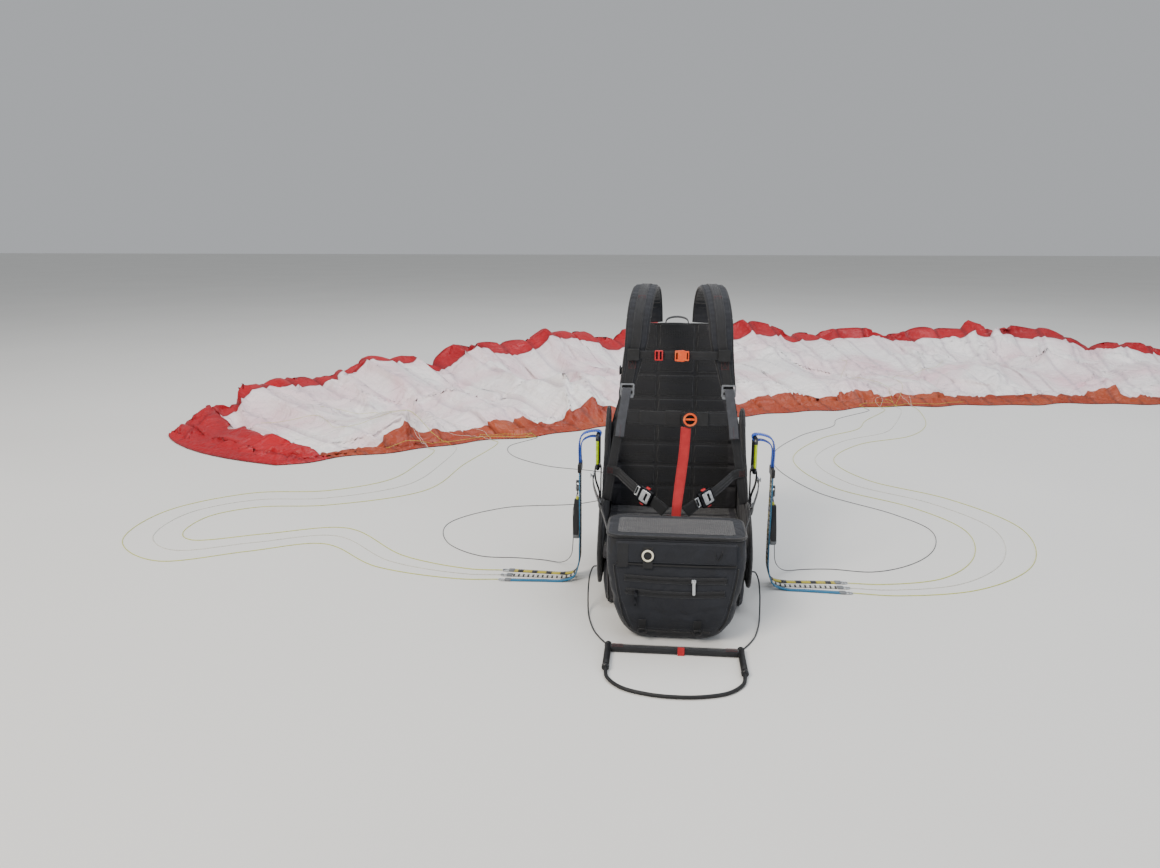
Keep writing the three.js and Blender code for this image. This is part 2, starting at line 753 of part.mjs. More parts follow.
function pulleyWheel() {
  const half = (CHEEK_OUT - CHEEK_IN) / 2 - CHEEK_THICK - 0.8;
  const bore = PIN_RADIUS + 0.6;
  const groove = PULLEY_RADIUS - 2.5;
  const profile = [
    [bore, -half], [PULLEY_RADIUS, -half], [PULLEY_RADIUS, -half + 0.8], [groove, 0],
    [PULLEY_RADIUS, half - 0.8], [PULLEY_RADIUS, half], [bore, half], [bore, -half],
  ];
  return new THREE.LatheGeometry(profile.map((p) => new THREE.Vector2(...p)), 16)
    .rotateZ(PI / 2)
    .translate((CHEEK_IN + CHEEK_OUT) / 2, RING_Y + PULLEY_Y, PULLEY_Z);
}

// Brake handle: a stiff webbing loop that hangs from the front side of the pulley
function brakeHandle() {
  const y = RING_Y + PULLEY_Y - CORD_TURN;
  const ring = (grow) => [
    [y - 6 - grow * 0.3, 232 + grow],
    ...arc(y - 22, 150, 16 + grow, PI, (3 * PI) / 2, 4),
    ...arc(y + 22, 150, 16 + grow, -PI / 2, 0, 4),
    [y + 6 + grow * 0.3, 232 + grow],
  ];
  const loop = plate(ring(5), RISER_X + 2, 16, [ring(0)]);
  const knot = block(RISER_X + 5, RISER_X + 13, y - 4, y + 4, 234, 246);
  return joined(loop, knot);
}

// Lines: a, b and c run from the quick links, the brake line from its handle over the pulley.
// Each ends at the trailing edge of the wing, at the facet that LINE_COLUMNS counts from its middle.
const LINE_COLUMNS = {
  left: { a: 4, b: 3, c: 2, brake: 1 },
  right: { a: -24, b: -23, c: -21, brake: -19 },
};
const LINE_ROUTES = {
  left: {
    a: [
      [500.4, -79, 2.3], [620, -84, 1.5], [860, -20, 1.4], [1090, 190, 1.4], [1180, 520, 1.4],
      [1040, 820, 1.4], [800, 1040, 1.4], [720, 1330, 1.4], [900, 1640, 1.4], [1180, 1830, 1.4],
      [1330, 2080, 1.4],
    ],
    b: [
      [500.4, -45, 2.3], [610, -46, 1.5], [820, 15, 1.4], [1010, 210, 1.4], [1085, 500, 1.4],
      [960, 760, 1.4], [720, 985, 1.4], [640, 1330, 1.4], [830, 1690, 1.4], [1080, 1900, 1.4],
      [1190, 2120, 1.4],
    ],
    c: [
      [500.4, -11, 2.3], [600, -9, 1.5], [780, 50, 1.4], [930, 230, 1.4], [985, 480, 1.4],
      [880, 700, 1.4], [640, 930, 1.4], [545, 1330, 1.4], [740, 1740, 1.4], [960, 1960, 1.4],
      [1040, 2150, 1.4],
    ],
    brake: [
      [590, 80, 1.4], [720, 150, 1.4], [830, 290, 1.4], [870, 470, 1.4], [790, 620, 1.4],
      [560, 870, 1.4], [450, 1330, 1.4], [650, 1790, 1.4], [850, 2020, 1.4], [900, 2180, 1.4],
    ],
  },
  right: {
    a: [
      [-500.4, -79, 2.3], [-620, -84, 1.5], [-880, -20, 1.4], [-1120, 150, 1.4],
      [-1330, 60, 1.4], [-1560, -40, 1.4], [-1780, 120, 1.4], [-1800, 420, 1.4],
      [-1600, 640, 1.4], [-1320, 700, 1.4], [-1130, 860, 1.4], [-1080, 1120, 1.4],
    ],
    b: [
      [-500.4, -45, 2.3], [-610, -46, 1.5], [-850, 25, 1.4], [-1110, 225, 1.4],
      [-1340, 140, 1.4], [-1560, 50, 1.4], [-1700, 160, 1.4], [-1710, 400, 1.4],
      [-1550, 560, 1.4], [-1290, 610, 1.4], [-1040, 800, 1.4], [-980, 1120, 1.4],
    ],
    c: [
      [-500.4, -11, 2.3], [-600, -9, 1.5], [-820, 70, 1.4], [-1100, 300, 1.4],
      [-1340, 220, 1.4], [-1550, 140, 1.4], [-1620, 200, 1.4], [-1620, 370, 1.4],
      [-1500, 480, 1.4], [-1250, 530, 1.4], [-950, 730, 1.4], [-880, 1120, 1.4],
    ],
    brake: [
      [-590, 95, 1.4], [-720, 200, 1.4], [-760, 380, 1.4], [-600, 560, 1.4], [-320, 640, 1.4],
      [-150, 820, 1.4], [-260, 1040, 1.4], [-520, 1130, 1.4], [-700, 1290, 1.4],
      [-740, 1450, 1.4],
    ],
  },
};
const LINE_STEPS = 36;

// Last two points of a line, straight up to the trailing edge
function lineEnd(column) {
  const u = (column * TIP_SHARE) / PANEL_COLUMNS;
  return [45, 0.5].map((gap) => wingPoint(u, 1 + gap / chordAt(u), 1.4).toArray());
}

// Way of the brake line from its handle over the pulley and down to the floor
function brakeStart(mirror) {
  const x = (CHEEK_IN + CHEEK_OUT) / 2;
  const y = RING_Y + PULLEY_Y;
  const over = arc(y, PULLEY_Z, CORD_TURN, PI, 0, 6).map(([along, up]) => [x, along, up]);
  const down = [
    [280, y + 17, 235], [289, y + 25, 200], [291, y + 31, 150], [292, y + 39, 90],
    [300, y + 51, 40], [330, y + 78, 8], [390, y + 105, 1.8], [470, y + 115, 1.4],
  ];
  return [[x, y - CORD_TURN, 246.3], ...over, ...down].map(([px, ...rest]) => [px * mirror, ...rest]);
}

// Putting it together

const root = new THREE.Group();
root.add(wing());

const harness = new THREE.Group();
root.add(harness);

harness.add(
  piece("airbag_base", airbagBase(), CHARCOAL),
  piece("airbag_rear", airbagRear(), CHARCOAL),
  piece("seat_pad", seatPad(), BLACK_CLOTH),
  piece("back_panel", backPanel(), BLACK_CLOTH),
  piece("back_container", backContainer(), CHARCOAL),
  piece("chest_strap", acrossChest(CHEST), WEBBING),
  piece("chest_buckle", chestBuckle(), ORANGE_PLASTIC),
  piece("sternum_strap", acrossChest(STERNUM), WEBBING),
  piece("sternum_buckle", sternumBuckle(), ORANGE_PLASTIC),
  piece("crotch_strap", crotchStrap(), BLACK_CLOTH),
  piece("warning_ribbon", warningRibbon(), RED_WEBBING),
  piece("front_container", frontContainer(), BLACK_CLOTH),
  piece("container_lid", containerLid(), BLACK_CLOTH),
  piece("speed_bar", speedBar(), BLACK_PLASTIC),
);

for (const [side, mirror] of [["left", 1], ["right", -1]]) {
  const half = new THREE.Group();
  half.scale.x = mirror;
  half.add(
    piece(`side_panel_${side}`, sidePanel(), CHARCOAL),
    piece(`hang_strap_${side}`, hangStrap(), WEBBING),
    piece(`shoulder_strap_${side}`, shoulderStrap(), WEBBING),
    piece(`leg_strap_${side}`, legStrap(), WEBBING),
    piece(`leg_buckle_${side}`, legBuckle(), STEEL),
    piece(`carabiner_${side}`, ringBody(), DARK_METAL),
    piece(`carabiner_gate_${side}`, ringGate(), NEON_METAL),
    piece(`container_stud_${side}`, containerStud(), STEEL),
    piece(`container_strap_${side}`, containerStrap(), WEBBING),
    piece(`riser_loop_${side}`, riserLoop(), BLUE_WEBBING),
    piece(`riser_${side}`, riser(), WEBBING),
    piece(`brake_pulley_wheel_${side}`, pulleyWheel(), BLACK_PLASTIC),
    piece(`brake_handle_${side}`, brakeHandle(), WEBBING),
    piece(`speed_cord_${side}`, tube(SPEED_CORD, CORD_RADIUS, 26), RUBBER),
  );
  harness.add(half);
  for (const [line, route] of Object.entries(LINE_ROUTES[side])) {
    const start = line === "brake" ? brakeStart(mirror) : [];
    const whole = [...start, ...route, ...lineEnd(LINE_COLUMNS[side][line])];
    const steps = line === "brake" ? LINE_STEPS + 26 : LINE_STEPS;
    root.add(piece(`line_${line}_${side}`, tube(whole, LINE_RADIUS, steps), LINE));
  }
}

export default root;
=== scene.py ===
"""A paraglider on the ground: its laid-out wing, slack lines, risers and parked harness.

Metres, +Z up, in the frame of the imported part: the harness faces -Y, the wing lies towards +Y.
"""

import json
import logging
import math
from dataclasses import dataclass, field
from enum import Enum
from typing import Callable, ClassVar, Iterable, Sequence

import bmesh
import bpy
import numpy as np
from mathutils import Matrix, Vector, noise
from mathutils.bvhtree import BVHTree

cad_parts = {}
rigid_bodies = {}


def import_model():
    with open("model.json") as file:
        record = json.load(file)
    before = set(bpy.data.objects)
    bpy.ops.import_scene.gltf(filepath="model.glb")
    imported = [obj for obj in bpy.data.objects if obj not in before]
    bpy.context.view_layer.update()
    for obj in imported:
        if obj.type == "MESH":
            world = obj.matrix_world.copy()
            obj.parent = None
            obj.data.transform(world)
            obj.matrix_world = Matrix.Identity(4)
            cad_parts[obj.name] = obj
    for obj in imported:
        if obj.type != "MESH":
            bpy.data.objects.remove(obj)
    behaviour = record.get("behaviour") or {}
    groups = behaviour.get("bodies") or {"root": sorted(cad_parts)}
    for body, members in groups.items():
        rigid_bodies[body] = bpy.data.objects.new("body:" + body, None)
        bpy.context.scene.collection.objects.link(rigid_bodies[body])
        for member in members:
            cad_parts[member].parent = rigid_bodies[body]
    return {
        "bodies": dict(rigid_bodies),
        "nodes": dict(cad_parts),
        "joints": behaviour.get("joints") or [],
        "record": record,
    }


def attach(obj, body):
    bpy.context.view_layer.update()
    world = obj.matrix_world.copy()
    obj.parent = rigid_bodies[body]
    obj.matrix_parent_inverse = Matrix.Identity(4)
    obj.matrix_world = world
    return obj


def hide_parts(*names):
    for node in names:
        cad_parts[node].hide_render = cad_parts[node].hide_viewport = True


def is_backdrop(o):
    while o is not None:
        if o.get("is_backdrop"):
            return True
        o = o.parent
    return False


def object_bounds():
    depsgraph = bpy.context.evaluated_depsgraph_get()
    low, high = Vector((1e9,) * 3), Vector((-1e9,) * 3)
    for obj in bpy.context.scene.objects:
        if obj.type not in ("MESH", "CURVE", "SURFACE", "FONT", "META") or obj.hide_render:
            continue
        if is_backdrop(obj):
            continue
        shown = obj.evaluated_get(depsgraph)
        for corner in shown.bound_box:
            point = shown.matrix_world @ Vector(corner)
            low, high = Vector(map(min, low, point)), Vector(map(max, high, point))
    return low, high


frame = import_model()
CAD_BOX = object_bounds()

log = logging.getLogger("paraglider")
MM = 0.001
ROOT = "harness_and_wing"
LEFT, RIGHT = 1, -1
# the sides as seen from the seat, each with its name
SIDES = {RIGHT: "right", LEFT: "left"}
ACROSS, FORTH, UP = (1, 0, 0), (0, 1, 0), (0, 0, 1)
Grid = np.ndarray
Point = Sequence[float]
Outline = Sequence[tuple[float, float]]
Socket = bpy.types.NodeSocket
Piece = bpy.types.Object


# Materials


def linear(code: str) -> tuple[float, float, float, float]:
    """Turns an sRGB hex colour into linear red, green, blue and alpha.

    Args:
        code: six hexadecimal digits.

    Returns:
        The colour as the shaders take it.
    """
    shares = [int(code[i : i + 2], 16) / 255 for i in (0, 2, 4)]
    toned = [s / 12.92 if s <= 0.04045 else ((s + 0.055) / 1.055) ** 2.4 for s in shares]
    return (*toned, 1.0)


def add_node(
    tree: bpy.types.NodeTree, kind: str, inputs: dict | None = None, out: int | str = 0, **settings: object
) -> Socket | None:
    """Adds a node with its settings, values and links.

    Args:
        tree: the node tree that gets it.
        kind: the node's type name.
        inputs: socket name or number to a value, or to an output socket to link from.
        out: name or number of the output that is given back.
        settings: attributes of the node.

    Returns:
        The chosen output socket.
    """
    node = tree.nodes.new(kind)
    for key, value in settings.items():
        setattr(node, key, value)
    for key, value in (inputs or {}).items():
        if isinstance(value, Socket):
            tree.links.new(value, node.inputs[key])
        else:
            node.inputs[key].default_value = value
    return node.outputs[out] if len(node.outputs) else None


class Surface:
    """A material under construction: its tree, its coordinates and its Principled shader."""

    def __init__(self, name: str, **sockets: float) -> None:
        """Starts the material.

        Args:
            name: what the surface is.
            sockets: constants for the shader's own sockets, with spaces written as underscores.
        """
        self.material = bpy.data.materials.new(name)
        self.material.use_nodes = True
        self.tree = self.material.node_tree
        self.shader = self.tree.nodes["Principled BSDF"]
        self.space = add_node(self.tree, "ShaderNodeTexCoord", out="Object")
        parts = self.add("SeparateXYZ", {0: self.space.node.outputs["UV"]}).node
        self.across, self.along = parts.outputs[:2]
        for key, value in sockets.items():
            self.shader.inputs[key.replace("_", " ")].default_value = value

    def add(self, kind: str, inputs: dict | None = None, out: int | str = 0, **settings: object) -> Socket:
        """Adds a shader node; a texture reads Object coordinates unless it is told otherwise."""
        place = {"Vector": self.space} if kind.startswith("Tex") else {}
        return add_node(self.tree, f"ShaderNode{kind}", place | (inputs or {}), out, **settings)

    def patches(self, low: float, high: float, top: float = 1.0, **cloud: float) -> Socket:
        """Cloudy patches from noise with the given inputs: none up to low, share top from high on."""
        level = self.add("TexNoise", cloud)
        return self.add("MapRange", {"Value": level, "From Min": low, "From Max": high, "To Max": top})

    def finish(
        self,
        base: str,
        layers: Iterable[tuple[Socket, str]],
        relief: Iterable[tuple[Socket, float]] = (),
        roughness: Socket | None = None,
    ) -> bpy.types.Material:
        """Paints the layers over the base colour and links the patterns to the shader.

        Args:
            base: hex colour under the layers.
            layers: the share of each layer with its hex colour.
            relief: height patterns, each with its depth in metres.
            roughness: the roughness, or none where it is a constant.

        Returns:
            The finished material.
        """
        colour = linear(base)
        for share, code in layers:
            colour = self.add("Mix", {0: share, 6: colour, 7: linear(code)}, 2, data_type="RGBA")
        ends = {"Base Color": colour} | ({"Roughness": roughness} if roughness else {})
        for height, depth in relief:
            below = {"Normal": ends["Normal"]} if "Normal" in ends else {}
            ends["Normal"] = self.add("Bump", {"Height": height, "Distance": depth, "Strength": 1.0} | below)
        for name, socket in ends.items():
            self.tree.links.new(socket, self.shader.inputs[name])
        return self.material


@dataclass(frozen=True)
class SailCloth:
    """Coated ripstop nylon: thin, crisp cloth that creases sharply, with a satin coating."""

    name: str
    base: str
    # colour of the cloudy patches; on the white cloth it is pink, painted light shining through from the red cloth on
    # its other side
    tint: str
    seam: str

    def build(self) -> bpy.types.Material:
        """Makes the material. The ripstop grid is drawn at 20 mm, since 5 mm would not show.

        Returns:
            The material.
        """
        s = Surface(self.name, Roughness=0.5, Sheen_Weight=0.03, Coat_Weight=0.04)
        drift = s.add("TexNoise", {"Scale": 3.0}, "Color")
        wander = s.add("VectorMath", {0: s.space, 1: drift}, operation="ADD")
        creases = []
        for scale, depth in ((5.0, 0.005), (11.0, 0.0025), (24.0, 0.001)):
            cells = s.add("TexVoronoi", {"Vector": wander, "Scale": scale}, feature="DISTANCE_TO_EDGE")
            creases.append((s.add("MapRange", {"Value": cells, "From Max": 0.35}), depth))
        threads = []
        for way in (s.across, s.along):
            steps = s.add("Math", {0: way, 1: 50.0}, operation="MULTIPLY")
            fold = s.add("Math", {0: steps, 1: 1.0}, operation="PINGPONG")
            threads.append(s.add("MapRange", {"Value": fold, "From Min": 0.9}))
        ripstop = s.add("Math", {0: threads[0], 1: threads[1]}, operation="MAXIMUM")
        # cloudy patches of the tint: random tone on the red and rust cloth, painted show-through light of the red cloth
        # on the white
        blotch_and_show_through = s.patches(0.4, 0.72, Scale=2.2, Detail=4.0, Distortion=0.6)
        faint = s.add("Math", {0: ripstop, 1: 0.25}, operation="MULTIPLY")
        rib = s.add("Attribute", {}, "Fac", attribute_name="rib")
        seam = s.add("Math", {0: rib, 1: 0.55}, operation="MULTIPLY")
        grain = s.add("TexNoise", {"Scale": 30.0})
        rough = s.add("MapRange", {"Value": grain, "To Min": 0.3, "To Max": 0.65})
        layers = [(blotch_and_show_through, self.tint), (faint, self.seam), (seam, self.seam)]
        return s.finish(self.base, layers, [*creases, (ripstop, 0.0004)], rough)


@dataclass(frozen=True)
class PackCloth:
    """Woven nylon pack cloth: matt, with soft wrinkles and a fine plain weave."""

    name: str
    base: str
    worn: str
    wrinkle: float = 0.006

    def build(self) -> bpy.types.Material:
        """Makes the material. The weave is drawn at 2.1 mm, since 0.5 mm would not show.

        Returns:
            The material.
        """
        s = Surface(self.name, Roughness=0.75, Sheen_Weight=0.12, Sheen_Roughness=0.4)
        folds = s.add("TexNoise", {"Scale": 9.0, "Detail": 3.0, "Distortion": 1.5})
        creases = s.add("TexNoise", {"Scale": 28.0, "Detail": 4.0, "Distortion": 0.8})
        yarns = [s.add("TexWave", {"Scale": 150.0}, "Fac", bands_direction=axis) for axis in "XYZ"]
        cross = s.add("Math", {0: yarns[0], 1: yarns[1]}, operation="MULTIPLY")
        weave = s.add("Math", {0: yarns[2], 1: 0.5, 2: cross}, operation="MULTIPLY_ADD")
        worn = s.patches(0.48, 0.75, 0.6, Scale=14.0, Detail=5.0, Distortion=0.5)
        tone = s.add("Math", {0: weave, 1: 0.12, 2: worn}, operation="MULTIPLY_ADD")
        relief = [(folds, self.wrinkle * 2), (creases, self.wrinkle * 0.5), (weave, 0.0002)]
        return s.finish(self.base, [(tone, self.worn)], relief)


@dataclass(frozen=True)
class SpacerMesh:
    """Knitted spacer mesh: a soft pad face with rows of small round holes."""

    name: str
    base: str
    hole: str
    pitch_mm: float = 5.0

    def build(self) -> bpy.types.Material:
        """Makes the material, with its holes at a pitch in millimetres.

        Returns:
            The material.
        """
        s = Surface(self.name, Roughness=0.9, Sheen_Weight=0.35)
        cells = s.add("TexVoronoi", {"Scale": 1000.0 / self.pitch_mm, "Randomness": 0.08}, "Distance")
        knit = s.add("MapRange", {"Value": cells, "From Min": 0.25, "From Max": 0.42})
        soft = s.add("TexNoise", {"Scale": 12.0})
        return s.finish(self.hole, [(knit, self.base)], [(soft, 0.006), (knit, 0.0012)])


@dataclass(frozen=True)
class Webbing:
    """Woven polyester webbing: ribs across its length with a slight sheen and fuzzy edges."""

    name: str
    base: str
    worn: str
    stripe: str = ""
    stripe_mm: float = 20.0

    def build(self) -> bpy.types.Material:
        """Makes the material. Its ribs follow the strap's own length, 2.4 mm apart.

        Returns:
            The material.
        """
        s = Surface(self.name, Roughness=0.7, Sheen_Weight=0.3, Sheen_Roughness=0.35)
        twill = s.add("Math", {0: s.across, 1: 4 * MM}, operation="PINGPONG")
        slant = s.add("Math", {0: twill, 1: 0.8, 2: s.along}, operation="MULTIPLY_ADD")
        ribs = s.add("Math", {0: slant, 1: 1.2 * MM}, operation="PINGPONG")
        height = s.add("Math", {0: ribs, 1: 1.2 * MM}, operation="DIVIDE")
        worn = s.patches(0.4, 0.8, 0.35, Scale=60.0, Detail=4.0)
        fuzz = worn.node.inputs["Value"].links[0].from_socket
        layers = [(s.add("Math", {0: height, 1: 0.25, 2: worn}, operation="MULTIPLY_ADD"), self.worn)]
        if self.stripe:
            step = self.stripe_mm * MM
            ticks = s.add("Math", {0: s.along, 1: step / 2}, operation="PINGPONG")
            band = {"Value": ticks, "From Min": step * 0.3, "From Max": step * 0.31}
            layers.append((s.add("MapRange", band), self.stripe))
        return s.finish(self.base, layers, [(height, 0.0005), (fuzz, 0.0006)])


@dataclass(frozen=True)
class DrawnMetal:
    """Machined or forged metal, anodised or bare, with faint drawing marks."""

    name: str
    base: str
    rough: float
    dark: str

    def build(self) -> bpy.types.Material:
        """Makes the material. The marks run along the piece, about 0.6 mm apart.

        Returns:
            The material.
        """
        s = Surface(self.name, Metallic=1.0)
        drawn = s.add("Mapping", {"Vector": s.space, "Scale": (1, 1, 0.06)})
        marks = s.add("TexNoise", {"Vector": drawn, "Scale": 1600.0})
        wear = s.patches(0.45, 0.7, Scale=90.0, Detail=5.0)
        span = {"Value": marks, "To Min": self.rough * 0.75, "To Max": self.rough * 1.35}
        return s.finish(self.base, [(wear, self.dark)], [(marks, 0.00006)], s.add("MapRange", span))


@dataclass(frozen=True)
class Moulded:
    """Moulded plastic or rubber with a fine grain and slightly rubbed raised parts."""

    name: str
    base: str
    rubbed: str
    rough: float = 0.42
    grain_mm: float = 0.8

    def build(self) -> bpy.types.Material:
        """Makes the material, its grain at a size in millimetres.

        Returns:
            The material.
        """
        s = Surface(self.name, Roughness=self.rough, Specular_IOR_Level=0.5)
        grain = s.add("TexNoise", {"Scale": 1000.0 / self.grain_mm})
        wear = s.patches(0.5, 0.8, Scale=70.0, Detail=5.0)
        return s.finish(self.base, [(wear, self.rubbed)], [(grain, 0.00012)])


@dataclass(frozen=True)
class BraidedLine:
    """Sheathed line: a bright woven cover with darker flecks along it."""

    name: str
    base: str
    fleck: str

    def build(self) -> bpy.types.Material:
        """Makes the material. Flecks repeat about every 4 mm.

        Returns:
            The material.
        """
        s = Surface(self.name, Roughness=0.6, Sheen_Weight=0.2)
        flecks = s.patches(0.5, 0.62, 0.6, Scale=240.0)
        return s.finish(self.base, [(flecks, self.fleck)], [(flecks, 0.0002)])


@dataclass(frozen=True)
class FloorPaint:
    """Plain pale floor of the studio, matt paint with a faint unevenness."""

    name: str
    base: str
    second: str

    def build(self) -> bpy.types.Material:
        """Makes the floor's material."""
        s = Surface(self.name, Roughness=0.85)
        return s.finish(self.base, [(s.add("TexNoise", {"Scale": 0.8}), self.second)])


class Finish(Enum):
    """Every finish on the paraglider, by what the surface is."""

    # its pink patch colour EDC6CE is painted light shining through from the red cloth on its other side
    WHITE_SAIL = SailCloth("coated_ripstop_white", "F8F3F1", "EDC6CE", "B9A9B4")
    RED_SAIL = SailCloth("coated_ripstop_red", "B60016", "980012", "56040E")
    ORANGE_SAIL = SailCloth("coated_ripstop_rust", "98300A", "AC4A1E", "4C1A08")
    CHARCOAL = PackCloth("nylon_pack_cloth_charcoal", "232327", "3A383C")
    NAVY = PackCloth("nylon_pack_cloth_navy_black", "0D1018", "1C2029", 0.004)
    LINING = PackCloth("nylon_lining_black", "101114", "1D1E22", 0.003)
    MESH = SpacerMesh("knitted_spacer_mesh_black", "1A1B1F", "050506")
    BLACK_WEBBING = Webbing("polyester_webbing_black", "0C0D10", "24252A")
    GREY_WEBBING = Webbing("polyester_webbing_grey", "3A3C42", "5B5E66")
    BLUE_WEBBING = Webbing("polyester_webbing_blue", "1648B8", "3A6BD6")
    TEAL_WEBBING = Webbing("polyester_webbing_teal", "0F6A94", "3488AE")
    RED_WEBBING = Webbing("polyester_webbing_red", "A80F18", "D23A3A")
    TICKED_WEBBING = Webbing("aramid_tape_white_ticked", "D9D8D0", "C2BFB2", "17181C", 14.0)
    BANDED_WEBBING = Webbing("polyester_webbing_yellow_banded", "B8A828", "D2C552", "17181C", 42.0)
    PIPING = Webbing("bound_edge_tape_black", "0A0A0C", "1D1D21")
    THREAD = Webbing("bonded_nylon_thread_grey", "3C3E44", "575A60")
    RED_THREAD = Webbing("bonded_nylon_thread_dark_red", "5E1418", "7A2A2E")
    DARK_METAL = DrawnMetal("anodised_aluminium_graphite", "45474C", 0.34, "2E3034")
    NEON_METAL = DrawnMetal("anodised_aluminium_neon_yellow", "CFEA2E", 0.38, "B4CC22")
    STEEL = DrawnMetal("stainless_steel_satin", "C4C7CA", 0.3, "A2A5A9")
    BLACK_STEEL = DrawnMetal("blackened_steel", "1E1F22", 0.4, "3A3B3F")
    BLACK_PLASTIC = Moulded("acetal_black", "0D0E10", "222327")
    ORANGE_PLASTIC = Moulded("acetal_orange", "E2511A", "F08A4C")
    GREY_PLASTIC = Moulded("acetal_grey", "6B6E73", "8C8F94")
    RED_PLASTIC = Moulded("acetal_red", "B3141C", "D2484C")
    CREAM_RING = Moulded("polished_nylon_ring_cream", "E4DEC8", "C9C2A8", 0.3)
    RUBBER = Moulded("rubber_tube_black", "0A0A0B", "1B1B1E", 0.62, 1.5)
    GREY_RUBBER = Moulded("rubber_grey", "6A6D70", "84878A", 0.6, 1.5)
    YELLOW_LINE = BraidedLine("braided_line_yellow_green", "C9CC3A", "8E9420")
    WHITE_LINE = BraidedLine("braided_line_white", "DAD9CE", "A5A397")
    DARK_LINE = BraidedLine("braided_line_dark", "1B1C20", "3A3B42")
    FLOOR = FloorPaint("matt_floor_paint", "D9D8D4", "E2E1DD")

    @property
    def material(self) -> bpy.types.Material:
        """The material, made on first use."""
        return bpy.data.materials.get(self.value.name) or self.value.build()


# Lines through points


def spline(points: Sequence[Point], count: int, even: bool = False) -> Grid:
    """Samples a smooth line through points, bent like the part's own curves.

    Args:
        points: two or more points, each with any number of columns.
        count: how many samples to take.
        even: whether the samples are evenly spaced along the line.

    Returns:
        An array of count rows.
    """
    p = np.array(points, float)
    p = np.vstack([2 * p[0] - p[1], p, 2 * p[-1] - p[-2]])
    step = np.maximum(np.linalg.norm(np.diff(p[:, :3], axis=0), axis=1) ** 0.5, 1e-4)
    at = np.linspace(0, len(points) - 1, max(count, 24 * len(points)) if even else count)
    i = np.minimum(at.astype(int), len(points) - 2)
    t = (at - i)[:, None]
    a, b, c, d = p[i], p[i + 1], p[i + 2], p[i + 3]
    s0, s1, s2 = step[i][:, None], step[i + 1][:, None], step[i + 2][:, None]
    t1 = ((b - a) / s0 - (c - a) / (s0 + s1) + (c - b) / s1) * s1
    t2 = ((c - b) / s1 - (d - b) / (s1 + s2) + (d - c) / s2) * s1
    out = b + t1 * t + (-3 * b + 3 * c - 2 * t1 - t2) * t**2 + (2 * b - 2 * c + t1 + t2) * t**3
    return resampled(out, np.linspace(0, run_of(out)[-1], count)) if even else out


def run_of(points: Grid) -> Grid:
    """Length along a line up to each of its points."""
    return np.concatenate([[0], np.cumsum(np.linalg.norm(np.diff(points[:, :3], axis=0), axis=1))])


def resampled(points: Grid, runs: Grid) -> Grid:
    """Points of a line at the given lengths along it."""
    return np.stack([np.interp(runs, run_of(points), points[:, k]) for k in range(points.shape[1])], axis=1)


def frames_along(line: Grid, side: Point | Grid) -> tuple[Grid, Grid]:
    """Unit directions of the width, as near as it goes to the wanted side, and of the thickness."""
    along = np.gradient(line, axis=0)
    return squared(along, np.broadcast_to(np.array(side, float), line.shape))


def squared(along: Grid, wide: Grid) -> tuple[Grid, Grid]:
    """Makes wide square to along; gives it and the third direction, all of length 1.

    Args:
        along: the first direction at each point, of any length.
        wide: about the second direction.

    Returns:
        The second and the third direction.
    """
    along = along / np.linalg.norm(along, axis=1)[:, None]
    wide = wide - along * (wide * along).sum(1)[:, None]
    wide /= np.linalg.norm(wide, axis=1)[:, None]
    return wide, np.cross(along, wide)


def turns(count: int) -> Grid:
    """Evenly spaced angles round a circle, in radians."""
    return np.linspace(0, 2 * math.pi, count, endpoint=False)


def arc(x: float, y: float, radius: float, start: float, end: float, count: int = 8) -> list[tuple[float, float]]:
    """Points of a round stretch, angles in degrees."""
    angles = np.radians(np.linspace(start, end, count + 1))
    return [(x + radius * math.cos(a), y + radius * math.sin(a)) for a in angles]


def rounded_box(x0: float, x1: float, y0: float, y1: float, radius: float) -> list[tuple[float, float]]:
    """Outline of a rectangle with round corners.

    Args:
        x0: left side.
        x1: right side.
        y0: lower side.
        y1: upper side.
        radius: radius of the corners.

    Returns:
        The points.
    """
    left, right, low, high = x0 + radius, x1 - radius, y0 + radius, y1 - radius
    corners = ((right, high), (left, high), (left, low), (right, low))
    return [p for k, (x, y) in enumerate(corners) for p in arc(x, y, radius, 90 * k, 90 * k + 90, 4)]


def mirrored(points: Iterable[Point], sign: int) -> list[list[float]]:
    """Turns points to the other side when sign is -1."""
    return [[sign * p[0], *p[1:]] for p in points]


def on_plane(first: float | Grid, ring: Grid) -> Grid:
    """Sets points of two columns in the plane across X at a place, or at one place each."""
    return np.column_stack([np.broadcast_to(first, len(ring)), ring])


def at_height(ring: Grid, z: float) -> Grid:
    """Sets points of two columns at a height."""
    return np.column_stack([ring, np.full(len(ring), z)])


def circle(radius: float, count: int) -> Grid:
    """Points round an upright circle about the origin, in the plane across Y."""
    return np.column_stack([radius * np.cos(turns(count)), np.zeros(count), radius * np.sin(turns(count))])


def dense(outline: Sequence[Point], step: float, closed: bool = True) -> Grid:
    """Spreads points along a polygon of straight sides.

    Args:
        outline: its corners.
        step: about how far apart the points are.
        closed: whether the last corner joins the first.

    Returns:
        The points.
    """
    ring = np.array(list(outline) + ([outline[0]] if closed else []), float)
    whole = run_of(ring)[-1]
    return resampled(ring, np.linspace(0, whole, max(4, int(whole / step)) + 1)[: -1 if closed else None])


def rounded(outline: Outline, step: float, softness: int) -> Grid:
    """Dense closed outline with its corners rounded off by repeated averaging.

    Args:
        outline: its corners.
        step: about how far apart the points are.
        softness: how often they are averaged.

    Returns:
        The points.
    """
    ring = dense(outline, step)
    for _ in range(softness):
        ring = (np.roll(ring, 1, 0) + 2 * ring + np.roll(ring, -1, 0)) / 4
    return ring


